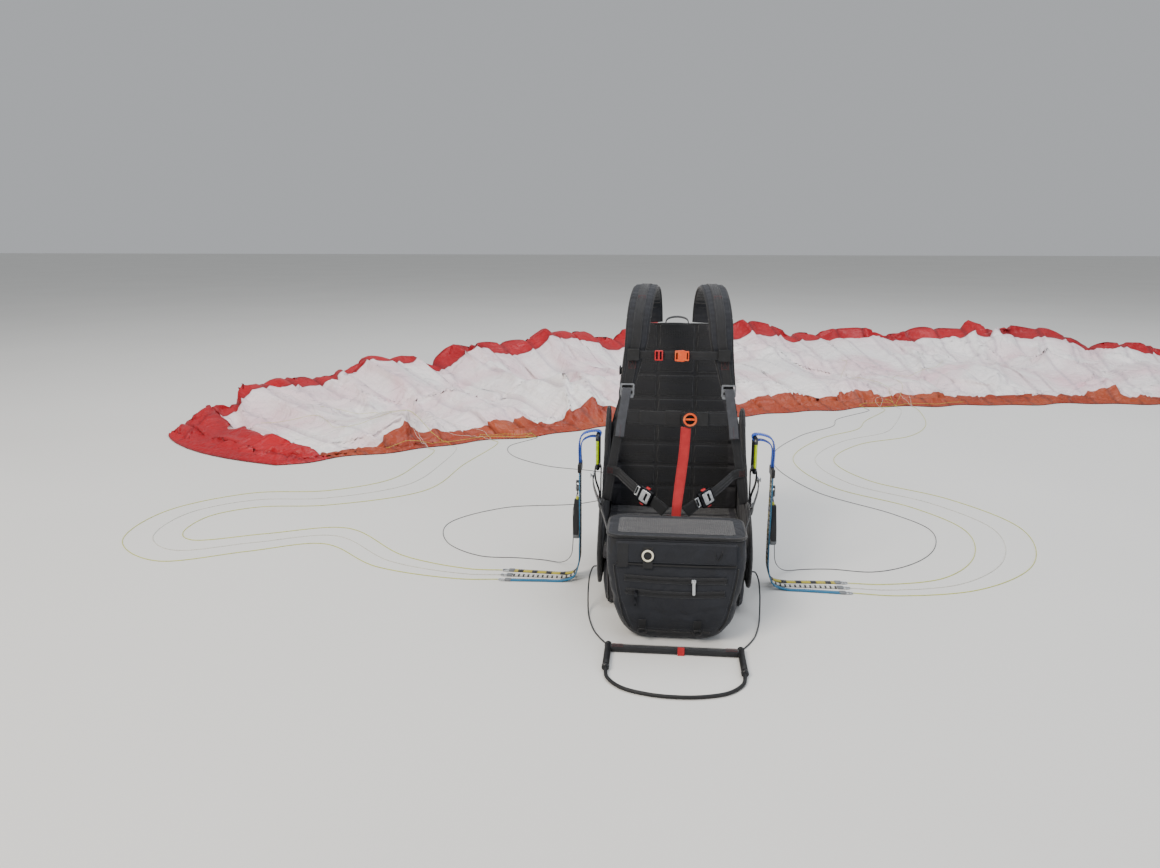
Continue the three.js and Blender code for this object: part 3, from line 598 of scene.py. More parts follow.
def drawn_in(ring: Grid, depth: float) -> Grid:
    """Draws a dense closed outline inwards.

    Args:
        ring: its points.
        depth: how far it goes in.

    Returns:
        The smaller outline.
    """
    along = np.roll(ring, -1, 0) - np.roll(ring, 1, 0)
    along /= np.linalg.norm(along, axis=1)[:, None]
    area = np.sum(ring[:, 0] * np.roll(ring[:, 1], -1) - np.roll(ring[:, 0], -1) * ring[:, 1])
    return ring + np.stack([-along[:, 1], along[:, 0]], axis=1) * np.sign(area) * depth


def evened(line: Grid, reach: int = 3) -> Grid:
    """Averages each point of an open line with its neighbours, so that it lies without kinks.

    Args:
        line: the points.
        reach: how many neighbours count on each side.

    Returns:
        The evened line, its ends kept.
    """
    share = np.full(2 * reach + 1, 1 / (2 * reach + 1))
    padded = np.pad(line, ((reach, reach), (0, 0)), mode="edge")
    soft = np.stack([np.convolve(padded[:, k], share, mode="valid") for k in range(line.shape[1])], axis=1)
    soft[0], soft[-1] = line[0], line[-1]
    return soft


# Meshes


def linked(name: str, data: bpy.types.ID) -> Piece:
    """Makes an object of a mesh, curve, light or camera and links it to the scene.

    Args:
        name: its name.
        data: what it is made of.

    Returns:
        The object.
    """
    item = bpy.data.objects.new(name, data)
    bpy.context.scene.collection.objects.link(item)
    return item


def points_of(piece: Piece, normals: bool = False) -> Grid:
    """Positions, or normals, of a mesh object's points.

    Args:
        piece: the mesh object.
        normals: whether the normals are wanted.

    Returns:
        A row for each point.
    """
    values = np.zeros(len(piece.data.vertices) * 3)
    piece.data.vertices.foreach_get("normal" if normals else "co", values)
    return values.reshape(-1, 3)


def reshaped(piece: Piece, points: Grid) -> Piece:
    """Moves a mesh object's points to new places.

    Args:
        piece: the mesh object.
        points: the new places.

    Returns:
        The object.
    """
    piece.data.vertices.foreach_set("co", points.ravel())
    piece.data.update()
    return piece


def mesh_piece(
    name: str,
    verts: Grid,
    faces: Iterable[Sequence[int]],
    finish: Finish | Sequence[Finish],
    uv: Grid | None = None,
    slots: Grid | None = None,
) -> Piece:
    """Makes a smooth mesh object at the origin.

    Args:
        name: the object's name.
        verts: positions in metres, in an array of any shape.
        faces: corners of each face.
        finish: one finish, or one for each material slot.
        uv: surface coordinates in metres for each vertex.
        slots: material slot of each face.

    Returns:
        The linked object.
    """
    mesh = bpy.data.meshes.new(name)
    mesh.from_pydata(np.asarray(verts, float).reshape(-1, 3).tolist(), [], [list(map(int, f)) for f in faces])
    if uv is not None:
        index = np.zeros(len(mesh.loops), int)
        mesh.loops.foreach_get("vertex_index", index)
        mesh.uv_layers.new(name="flat").data.foreach_set("uv", uv.reshape(-1, 2)[index].ravel())
    smooth(mesh)
    if slots is not None:
        mesh.polygons.foreach_set("material_index", slots.ravel())
    for one in finish if isinstance(finish, tuple) else [finish]:
        mesh.materials.append(one.material)
    return linked(name, mesh)


def floor_square(name: str, low: float, high: float) -> Piece:
    """Makes a flat square on the floor, between two places along both X and Y."""
    corners = np.array([(low, low, 0), (high, low, 0), (high, high, 0), (low, high, 0)])
    return mesh_piece(name, corners, [(0, 1, 2, 3)], Finish.FLOOR)


def smooth(mesh: bpy.types.Mesh) -> None:
    """Shades a mesh smooth."""
    mesh.polygons.foreach_set("use_smooth", [True] * len(mesh.polygons))


def grid_faces(rows: int, columns: int, closed: bool = False) -> list[tuple[int, int, int, int]]:
    """Quads of a grid of rows by columns points.

    Args:
        rows: points one way.
        columns: points the other way.
        closed: whether the last column joins the first.

    Returns:
        The faces' corners.
    """
    return [
        (r * columns + c, r * columns + e, (r + 1) * columns + e, (r + 1) * columns + c)
        for r in range(rows - 1)
        for c, e in ((c, (c + 1) % columns) for c in range(columns if closed else columns - 1))
    ]


def ring_faces(rows: int, columns: int) -> list[tuple[int, ...]]:
    """Quads of a grid whose last row joins the first, and whose last column joins the first."""
    return [tuple(i % (rows * columns) for i in face) for face in grid_faces(rows + 1, columns, True)]


def faced_out(piece: Piece) -> Piece:
    """Turns a closed mesh's faces outwards.

    Args:
        piece: the mesh object.

    Returns:
        The object.
    """
    work = bmesh.new()
    work.from_mesh(piece.data)
    bmesh.ops.recalc_face_normals(work, faces=work.faces)
    work.to_mesh(piece.data)
    work.free()
    return piece


def loft(name: str, rings: Grid, finish: Finish, uv: Grid | None = None) -> Piece:
    """Makes a closed body through rings of equally many points.

    Args:
        name: the object's name.
        rings: array of rings by points by 3.
        finish: its finish.
        uv: surface coordinates, rings by points by 2.

    Returns:
        The object.
    """
    count, around = rings.shape[:2]
    first, base = count * around, (count - 1) * around
    faces: list[Sequence[int]] = list(grid_faces(count, around, True))
    faces += [(first, (i + 1) % around, i) for i in range(around)]
    faces += [(first + 1, base + i, base + (i + 1) % around) for i in range(around)]
    grids = [grid for grid in (rings, uv) if grid is not None]
    capped = [np.vstack([grid.reshape(first, -1), grid[0].mean(0), grid[-1].mean(0)]) for grid in grids]
    return faced_out(mesh_piece(name, capped[0], faces, finish, *capped[1:]))


def sections(line: Grid, frames: tuple[Grid, Grid], across: Grid, deep: Grid) -> Grid:
    """Sets a section, its places along the width and the thickness, at each point of a line."""
    wide, thick = frames
    return line[:, None, :3] + wide[:, None] * across[..., None] + thick[:, None] * deep[..., None]


def strap(
    name: str,
    stops: Sequence[Point],
    side: Point,
    finish: Finish,
    samples: int = 60,
    edge: float = 0.5,
    quilt: Callable[[Grid], Grid] = np.ones_like,
) -> Piece:
    """Makes a flat strap along a smooth line, with rounded edges.

    Args:
        name: the object's name.
        stops: rows of x, y, z, width and thickness, in metres.
        side: direction of the width.
        finish: its finish.
        samples: how many sections it has.
        edge: how round the section is, 0 square and 1 an ellipse.
        quilt: share of the thickness at each share of the length.

    Returns:
        The object.
    """
    line = spline(stops, samples)
    turn = turns(20) + math.pi / 20
    across, deep = (np.sign(f(turn)) * np.abs(f(turn)) ** (0.25 + 0.75 * edge) for f in (np.cos, np.sin))
    run = run_of(line)
    across = across[None] * (line[:, 3] / 2)[:, None]
    deep = deep[None] * (line[:, 4] / 2 * quilt(run / run[-1]))[:, None]
    uv = np.stack([across, np.broadcast_to(run[:, None], across.shape)], axis=-1)
    return loft(name, sections(line, frames_along(line[:, :3], side), across, deep), finish, uv)


def tube(name: str, points: Sequence[Point], radius: float, finish: Finish, sides: int = 10) -> Piece:
    """Makes a round bar along points, closed at its ends.

    Args:
        name: the object's name.
        points: its middle line.
        radius: its radius.
        finish: its finish.
        sides: how many facets it has round it.

    Returns:
        The object.
    """
    line = np.asarray(points, float)[:, :3]
    along = np.gradient(line, axis=0)
    steep = np.abs(along[:, 2:]) >= 0.8 * np.linalg.norm(along, axis=1)[:, None]
    frames = frames_along(line, np.where(steep, [ACROSS], [UP]))
    turn = turns(sides)[None]
    return loft(name, sections(line, frames, radius * np.cos(turn), radius * np.sin(turn)), finish)


def ring_tube(name: str, points: Grid, radius: float, finish: Finish, sides: int = 8) -> Piece:
    """Makes a closed loop of round piping.

    Args:
        name: the object's name.
        points: its middle line.
        radius: its radius.
        finish: its finish.
        sides: how many facets it has round it.

    Returns:
        The object.
    """
    frames = squared(np.roll(points, -1, 0) - np.roll(points, 1, 0), points - points.mean(0))
    turn = turns(sides)[None]
    rings = sections(points, frames, radius * np.cos(turn), radius * np.sin(turn))
    uv = np.stack(np.broadcast_arrays(radius * turn, run_of(points)[:, None]), axis=-1)
    return faced_out(mesh_piece(name, rings, ring_faces(len(points), sides), finish, uv))


def cord(name: str, points: Grid, diameter: float, finish: Finish) -> Piece:
    """Args:
        name: the object's name.
        points: its middle line, from its exit on.
        diameter: its thickness.
        finish: its finish.

    Returns:
        The object.
    """
    curve = bpy.data.curves.new(name, "CURVE")
    curve.dimensions = "3D"
    curve.bevel_depth, curve.bevel_resolution, curve.use_fill_caps = diameter / 2, 1, True
    run = curve.splines.new("POLY")
    run.points.add(len(points) - 1)
    run.points.foreach_set("co", np.column_stack([points, np.ones(len(points))]).ravel())
    curve.materials.append(finish.material)
    piece = linked(name, curve)
    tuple(points[0])
    float(run_of(points)[-1])
    return piece


def turned(name: str, profile: Outline, centre: Point, axis: Point, finish: Finish, sides: int = 32) -> Piece:
    """Makes a turned piece from a closed profile of radius and height about an axis.

    Args:
        name: the object's name.
        profile: closed ring of radius and height, in metres.
        centre: where the axis starts.
        axis: its direction.
        finish: its finish.
        sides: how many facets it has round the axis.

    Returns:
        The object.
    """
    up = Vector(axis).normalized()
    first = up.orthogonal().normalized()
    e1, e2, e3 = (np.array(v) for v in (first, up.cross(first), up))
    radius, height = np.array(profile, float).T[..., None]
    out = np.cos(turns(sides))[:, None, None] * e1 + np.sin(turns(sides))[:, None, None] * e2
    verts = np.array(centre, float) + radius * out + height * e3
    return bevelled(faced_out(mesh_piece(name, verts, ring_faces(sides, len(profile)), finish)), 0)


def bevelled(piece: Piece, width: float) -> Piece:
    """Rounds a piece's sharp edges and shades it by angle.

    Args:
        piece: the object.
        width: how wide the rounding is, or 0 for none.

    Returns:
        The object.
    """
    if width > 0:
        edge = piece.modifiers.new("rounding", "BEVEL")
        edge.width, edge.segments, edge.limit_method, edge.angle_limit = width, 2, "ANGLE", 0.6
    smooth(piece.data)
    work = bmesh.new()
    work.from_mesh(piece.data)
    for line in work.edges:
        line.smooth = line.calc_face_angle(0) < 0.7
    work.to_mesh(piece.data)
    work.free()
    return piece


def slab(
    name: str,
    outline: Outline,
    low: float,
    high: float,
    finish: Finish,
    axis: str = "x",
    rounding: float = 0.0,
    holes: Iterable[Outline] = (),
) -> Piece:
    """Makes a flat plate of an outline, between two places along an axis.

    Args:
        name: the object's name.
        outline: points in the other two axes, in X, Y, Z order.
        low: start along the axis.
        high: end along the axis.
        finish: its finish.
        axis: x, y or z.
        rounding: radius of its edges.
        holes: outlines of its holes.

    Returns:
        The object.
    """
    order = {"x": (2, 0, 1), "y": (0, 2, 1), "z": (0, 1, 2)}[axis]
    work = bmesh.new()
    edges = []
    for ring in (outline, *holes):
        corners = [work.verts.new((a, b, 0)) for a, b in ring]
        edges += [work.edges.new((corners[i - 1], corners[i])) for i in range(len(corners))]
    bmesh.ops.triangle_fill(work, use_beauty=True, use_dissolve=False, edges=edges)
    bmesh.ops.dissolve_limit(work, angle_limit=0.01, verts=work.verts, edges=work.edges)
    raised = bmesh.ops.extrude_face_region(work, geom=list(work.faces))
    for item in raised["geom"]:
        if isinstance(item, bmesh.types.BMVert):
            item.co.z = 1
    for corner in work.verts:
        flat = (corner.co.x, corner.co.y, low + (high - low) * corner.co.z)
        corner.co = [flat[k] for k in order]
    bmesh.ops.recalc_face_normals(work, faces=work.faces)
    mesh = bpy.data.meshes.new(name)
    work.to_mesh(mesh)
    work.free()
    mesh.materials.append(finish.material)
    return bevelled(linked(name, mesh), rounding)


def plate(name: str, box: Point, low: float, high: float, finish: Finish, rounding: float, *windows: Point) -> Piece:
    """Makes a small upright plate about the origin, facing -Y; a box is four sides and a corner radius."""
    return slab(name, rounded_box(*box), low, high, finish, "y", rounding, [rounded_box(*w) for w in windows])


def evaluated(piece: Piece) -> Piece:
    """Turns a piece's modifiers into its own plain mesh.

    Args:
        piece: the object.

    Returns:
        The object.
    """
    graph = bpy.context.evaluated_depsgraph_get()
    plain = bpy.data.meshes.new_from_object(piece.evaluated_get(graph))
    piece.modifiers.clear()
    piece.data = plain
    return piece


def moved_to(piece: Piece, origin: Point, right: Point, up: Point, name: str = "") -> Piece:
    """Places a mesh made about the origin: its X along right, its Z along up, its -Y outwards.

    Args:
        piece: the mesh object, made at the origin.
        origin: where its origin goes.
        right: direction of its X.
        up: direction of its Z.
        name: its new name, or none to keep its own.

    Returns:
        The object.
    """
    local = points_of(evaluated(piece))
    x = np.array(Vector(right).normalized())
    z = np.array(up, float)
    z = z - x * (z @ x)
    z /= np.linalg.norm(z)
    piece.name = name or piece.name
    world = np.array(origin, float) + local[:, :1] * x + local[:, 1:2] * np.cross(z, x) + local[:, 2:] * z
    return reshaped(piece, world)


def toned(piece: Piece, finish: Finish, chosen: Callable[[Grid, Grid], Grid]) -> Piece:
    """Gives a second finish to some faces.

    Args:
        piece: the mesh object.
        finish: the second finish.
        chosen: says which faces get it, from their centres and normals.

    Returns:
        The object.
    """
    faces = piece.data.polygons
    values = {}
    for key in ("center", "normal"):
        values[key] = np.zeros(len(faces) * 3)
        faces.foreach_get(key, values[key])
    index = np.zeros(len(faces), int)
    faces.foreach_get("material_index", index)
    index[chosen(*(v.reshape(-1, 3) for v in values.values()))] = len(piece.data.materials)
    piece.data.materials.append(finish.material)
    faces.foreach_set("material_index", index)
    return piece


def joined(name: str, *items: Piece) -> Piece:
    """Joins meshes at the origin into one, each keeping its finish.

    Args:
        name: the new object's name.
        items: mesh objects, which are removed.

    Returns:
        The joined object.
    """
    work = bmesh.new()
    mesh = bpy.data.meshes.new(name)
    for item in items:
        plain = evaluated(item).data
        start = len(work.faces)
        work.from_mesh(plain)
        work.faces.ensure_lookup_table()
        for material in plain.materials:
            if material.name not in mesh.materials:
                mesh.materials.append(material)
        numbers = [mesh.materials.find(material.name) for material in plain.materials]
        for face in work.faces[start:]:
            face.material_index = numbers[face.material_index]
        bpy.data.objects.remove(item)
    work.to_mesh(mesh)
    work.free()
    return linked(name, mesh)


def surface_tree(piece: Piece) -> BVHTree:
    """Search tree of a mesh object's faces."""
    return BVHTree.FromPolygons([v.co for v in piece.data.vertices], [f.vertices for f in piece.data.polygons])


def on_surface(piece: Piece, points: Grid, lift: float) -> Grid:
    """Moves points to the nearest place on a mesh, lifted off it.

    Args:
        piece: the mesh object.
        points: points near it.
        lift: how far above the surface they end.

    Returns:
        The moved points.
    """
    tree = surface_tree(piece)
    found = [tree.find_nearest(Vector(point[:3])) for point in points]
    return np.array([place + normal * lift for place, normal, _, _ in found])


def waviness(points: Grid, scale: float, seed: float = 0.0) -> Grid:
    """Seeded smooth noise at each point, about -1 to 1, with scale waves per metre."""
    return np.array([noise.noise(Vector(p) * scale + Vector((seed, seed * 0.7, -seed))) for p in points]) * 2


def creasing(points: Grid, scale: float, seed: float = 0.0) -> Grid:
    """Seeded sharp creases at each point, 0 between them and 1 along them."""
    return np.clip(1 - 5 * np.abs(waviness(points, scale, seed)), 0, 1) ** 2


def settle(piece: Piece, body: str = ROOT, stands_for: Sequence[str] = ()) -> Piece:
    """Fastens a piece to a body and reports it.

    Args:
        piece: the object.
        body: the body that it moves with.
        stands_for: the part's nodes that it takes the place of.

    Returns:
        The object.
    """
    if stands_for:
        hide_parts(*stands_for)
    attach(piece, body)
    log.info("made %s on %s", piece.name, body)
    return piece


def simulated(piece: Piece, frames: int, quality: int, mass: float, **settings: float) -> Grid:
    """Lets a mesh move as cloth for some frames.

    Args:
        piece: the object.
        frames: how many frames it moves.
        quality: steps in each frame.
        mass: weight of each of its points.
        settings: other settings of the cloth.

    Returns:
        Where its points end.
    """
    cloth = piece.modifiers.new("cloth", "CLOTH")
    for key, value in {"quality": quality, "mass": mass, **settings}.items():
        setattr(cloth.settings, key, value)
    cloth.collision_settings.collision_quality = 2
    cloth.collision_settings.distance_min = 0.003
    cloth.collision_settings.use_self_collision = False
    cloth.settings.effector_weights.gravity = 0 if "uniform_pressure_force" in settings else 1
    cloth.point_cache.frame_start, cloth.point_cache.frame_end = 1, frames
    for number in range(1, frames + 1):
        bpy.context.scene.frame_set(number)
    settled = points_of(piece.evaluated_get(bpy.context.evaluated_depsgraph_get()))
    piece.modifiers.clear()
    bpy.context.scene.frame_set(1)
    return settled


# The wing


@dataclass
class Wing:
    """The wing laid on the ground with its belly up and its leading edge furthest away."""

    centre: tuple[float, float] = (2.2, -1.34)
    radius: float = 5.0
    half_arc: float = 0.74
    turn: float = 0.3
    root_chord: float = 2.05
    taper: float = 0.9
    nose_share: float = 0.2
    tail_share: float = 0.9
    tip_share: float = 0.92
    cells: int = 48
    grid: tuple[int, int] = (433, 110)
    back_grid: tuple[int, int] = (577, 41)
    cut: tuple[float, float] = (10.2, 2.6)
    cut_area: float = 21.5
    seed: int = 11
    slack: float = 0.13
    frames: int = 26
    ridges: int = 80
    quick_ridges: int = 300
    # what holds the cloth up: its points each way, and how far it runs past the tips and the edges
    support_grid: tuple[int, int] = (360, 90)
    support_past: tuple[float, float] = (0.02, 0.03)
    ground_half: float = 9.0

    def chord(self, u: Grid) -> Grid:
        """Length of the laid-out chord at share u of the half span."""
        return self.root_chord * np.sqrt(1 - (self.taper * u) ** 2)

    def puff(self, u: Grid, power: float) -> Grid:
        """How full the cells are, from 0 at their ribs to 1 in their middles."""
        return np.abs(np.sin(np.pi * ((u + 1) / 2 * self.cells))) ** power

    def base_height(self, u: Grid, v: Grid) -> Grid:
        """Height of the part's own wing surface, in metres.

        Args:
            u: shares of the half span.
            v: shares of the chord.

        Returns:
            Heights above the floor.
        """
        nose = 105 * np.exp(-(((v - 0.14) / 0.13) ** 2))
        sail = 50 * np.sin(np.pi * np.minimum(1, v)) ** 0.7
        cells = 26 * np.sin(2 * np.pi * (6 * u + 0.2 * np.sin(3 * v)))
        drape = 20 * np.sin(2 * np.pi * (2.3 * u - 1.3 * v) + 1.1)
        fold = 16 * np.sin(2 * np.pi * (1.2 * u + 2.1 * v) + 2.4)
        edge = np.minimum(np.minimum(1, 9 * v), 7 * (1 - v)) * (1 - 0.5 * np.abs(u) ** 4)
        return (17 + edge * np.maximum(4, 22 + nose + sail + cells + drape + fold)) * MM

    def folds(self, u: Grid, v: Grid, count: int) -> Grid:
        """Extra height of the creased cloth: long sharp ridges, mostly along the chord.

        Args:
            u: shares of the half span.
            v: shares of the chord.
            count: how many ridges there are.

        Returns:
            Heights in metres, of both signs.
        """
        rng = np.random.default_rng(self.seed + 5)
        span, along = u * self.radius * self.half_arc, v * self.chord(u)
        total = np.zeros_like(u)
        for _ in range(count):
            ds, da = span - rng.uniform(-3.7, 3.7), along - rng.uniform(0.1, 2.0)
            lean, reach, width = rng.normal(0, 0.5), rng.uniform(0.25, 0.85), rng.uniform(0.025, 0.075)
            lift = rng.uniform(0.02, 0.075) * rng.choice([1, 1, -0.7])
            run = da * math.cos(lean) + ds * math.sin(lean)
            off = ds * math.cos(lean) - da * math.sin(lean) + rng.uniform(-0.35, 0.35) * run**2
            total += lift * np.exp(-np.abs(off) / width) * np.exp(-((run / reach) ** 4))
        return total

    def tents(self, u: Grid, v: Grid) -> Grid:
        """Peaks where ribs hold the leading edge up, and the ridges that run down from them.

        Args:
            u: shares of the half span.
            v: shares of the chord.

        Returns:
            Heights in metres.
        """
        rng = np.random.default_rng(self.seed + 3)
        total = np.zeros_like(u)
        for s0 in np.arange(-3.3, 3.5, 0.68):
            middle = s0 + rng.uniform(-0.18, 0.18)
            lift = rng.uniform(0.05, 0.16) * (1.0 if s0 > 0 else 0.6)
            off = u * self.radius * self.half_arc - middle - rng.uniform(-0.35, 0.35) * v
            ridge = np.exp(-np.abs(off) / (0.07 + 0.22 * v))
            total += lift * ridge * np.clip(v / 0.12, 0, 1) * np.clip(1.15 - v, 0, 1) ** 1.3
        return total

    def height(self, u: Grid, v: Grid, ridges: int | None = None) -> Grid:
        """Height of the unfolded belly over the air left in the cells.

        Args:
            u: shares of the half span.
            v: shares of the chord.
            ridges: how many long folds it has, or none for the usual number.

        Returns:
            Heights in metres.
        """
        cell = ((u + 1) / 2 * self.cells).astype(int)
        full = np.random.default_rng(self.seed + 1).uniform(0.25, 1.0, self.cells + 1)[cell]
        near_nose = np.exp(-(((v - 0.06) / 0.16) ** 2))
        edge = np.minimum(1, np.minimum(14 * v, 9 * (1 - v)))
        quilt = (0.01 + 0.03 * near_nose + 0.02 * (u < 0)) * full * self.puff(u, 0.55) * np.clip(edge + 0.25, 0, 1)
        folds = 0.8 * self.folds(u, v, ridges or self.ridges) * edge
        tip = np.minimum(1, 14 * (1 - np.abs(u)))
        return np.maximum(0.004, (self.base_height(u, v) - 0.045 + quilt + self.tents(u, v) + folds) * tip)

    def place(self, u: Grid, v: Grid, z: Grid) -> Grid:
        """Points of the laid-out wing.

        Args:
            u: shares of the half span.
            v: shares of the chord.
            z: heights in metres.

        Returns:
            Points in the row frame.
        """
        scallop = (0.016 * self.puff(u, 0.7) - 0.008) * np.clip(1 - v / 0.1, 0, 1)
        wander = 0.03 * np.sin(u * 23.0) * np.sin(u * 9.1 + 1) + 0.014 * np.sin(u * 61.0)
        ragged = wander * np.clip((v - 0.86) / 0.14, 0, 1)
        round_off = 0.022 * (2 * v - 1) ** 2 * np.abs(u) ** 12
        angle = u * (1 - round_off) * self.half_arc - self.turn
        radius = self.radius + self.chord(u) * (0.5 - v) + scallop + ragged
        x, y = self.centre[0] + radius * np.sin(angle), self.centre[1] + radius * np.cos(angle)
        return np.stack([x, y, z], axis=-1)

    def shares(self, size: tuple[int, int], over: float = 0.0, past: float = 0.0) -> tuple[Grid, Grid]:
        """Shares of the half span and of the chord at a grid's points, which may run past the edges."""
        span, chord = np.linspace(-1 - over, 1 + over, size[0]), np.linspace(-past, 1 + past, size[1])
        return tuple(np.meshgrid(span, chord, indexing="ij"))

    def sheet(
        self, name: str, size: tuple[int, int], z: Grid, finish: Finish | tuple, slots: Grid | None = None
    ) -> Piece:
        """Makes one of the wing's two sheets.

        Args:
            name: its name.
            size: how many points it has each way.
            z: their heights.
            finish: its finishes.
            slots: which finish each face has.

        Returns:
            The object.
        """
        u, v = self.shares(size)
        uv = np.stack([u * self.cut[0] / 2, v * self.cut[1]], axis=-1)
        return mesh_piece(name, self.place(u, v, z), grid_faces(*size), finish, uv, slots)

    def belly(self) -> None:
        """Makes the lower surface, which lies on top, with its red, white and rust panels."""
        u, v = self.shares(self.grid)
        middle_u, middle_v = ((g[:-1, :-1] + g[1:, 1:]) / 2 for g in (u, v))
        slots = np.where(middle_v > self.tail_share, 2, 0)
        slots[(middle_v < self.nose_share) | (np.abs(middle_u) > self.tip_share)] = 1
        colours = (Finish.WHITE_SAIL, Finish.RED_SAIL, Finish.ORANGE_SAIL)
        z = self.height(u, v, None)
        piece = self.sheet("wing_belly", self.grid, z, colours, slots)
        cell = (u + 1) / 2 * self.cells
        seam = np.exp(-(((cell - np.round(cell)) / 0.045) ** 2))
        panel = np.exp(-(((v - self.nose_share) / 0.006) ** 2))
        rib = piece.data.attributes.new("rib", "FLOAT", "POINT")
        rib.data.foreach_set("value", np.clip(seam + panel, 0, 1).ravel())
        self.drape(piece, u, v)
        bands = ("leading_edge", "sail", "trailing_edge", "wing_tip")
        settle(piece, stands_for=[f"{band}_{side}" for band in bands for side in ("left", "right")])

    def drape(self, piece: Piece, u: Grid, v: Grid) -> None:
        """Lets the sheet buckle and settle, since its cut is larger than the ground it covers.

        Args:
            piece: the belly sheet.
            u: shares of the half span of its points.
            v: shares of the chord of its points.
        """
        su, sv = self.shares(self.support_grid, *self.support_past)
        inside = (np.abs(su) <= 1) & (sv >= 0) & (sv <= 1)
        air = np.maximum(0.001, self.height(np.clip(su, -1, 1), np.clip(sv, 0, 1)) - 0.012)
        places = self.place(su, sv, np.where(inside, air, 0.001))
        support = mesh_piece("air_in_the_cells", places, grid_faces(*self.support_grid), Finish.FLOOR)
        ground = floor_square("ground", -self.ground_half, self.ground_half)
        for under in (support, ground):
            under.modifiers.new("under", "COLLISION")
            under.collision.thickness_outer, under.collision.cloth_friction = 0.003, 12
        held = piece.vertex_groups.new(name="held")
        border = np.minimum(np.minimum(v, 1 - v) * 24, (1 - np.abs(u)) * 40)
        for index, share in enumerate(np.clip(1 - border, 0, 1).ravel()):
            if share > 0:
                held.add([index], float(share), "REPLACE")
        stiffness = dict(tension_stiffness=12, compression_stiffness=12, shear_stiffness=4, bending_stiffness=0.12)
        grown = dict(shrink_min=-self.slack, shrink_max=-self.slack, vertex_group_mass="held", pin_stiffness=1.0)
        settled = simulated(piece, self.frames, quality=5, mass=0.06, **stiffness, air_damping=2.0, **grown)
        piece.vertex_groups.clear()
        reshaped(piece, settled)
        for under in (support, ground):
            bpy.data.objects.remove(under)

    def back(self) -> None:
        """Makes the upper surface, which lies on the ground and shows at the edges."""
        u, v = self.shares(self.back_grid)
        rim = 0.55 * np.clip(1 - np.minimum(v, 1 - v) / 0.04, 0, 1)
        pleat = u * self.radius * self.half_arc / 0.05 + 0.3 * np.sin(9 * v)
        crest = 1 - np.abs(2 * (pleat - np.floor(pleat)) - 1)
        over = self.height(u, v)
        z = 0.002 + np.minimum(0.035 * crest, 0.3 * over) * (1 - rim) + rim * over
        piece = self.sheet("wing_back", self.back_grid, z, Finish.RED_SAIL)
        settle(piece)

    def build(self) -> None:
        """Makes the whole wing."""
        self.belly()
        self.back()


# Lines


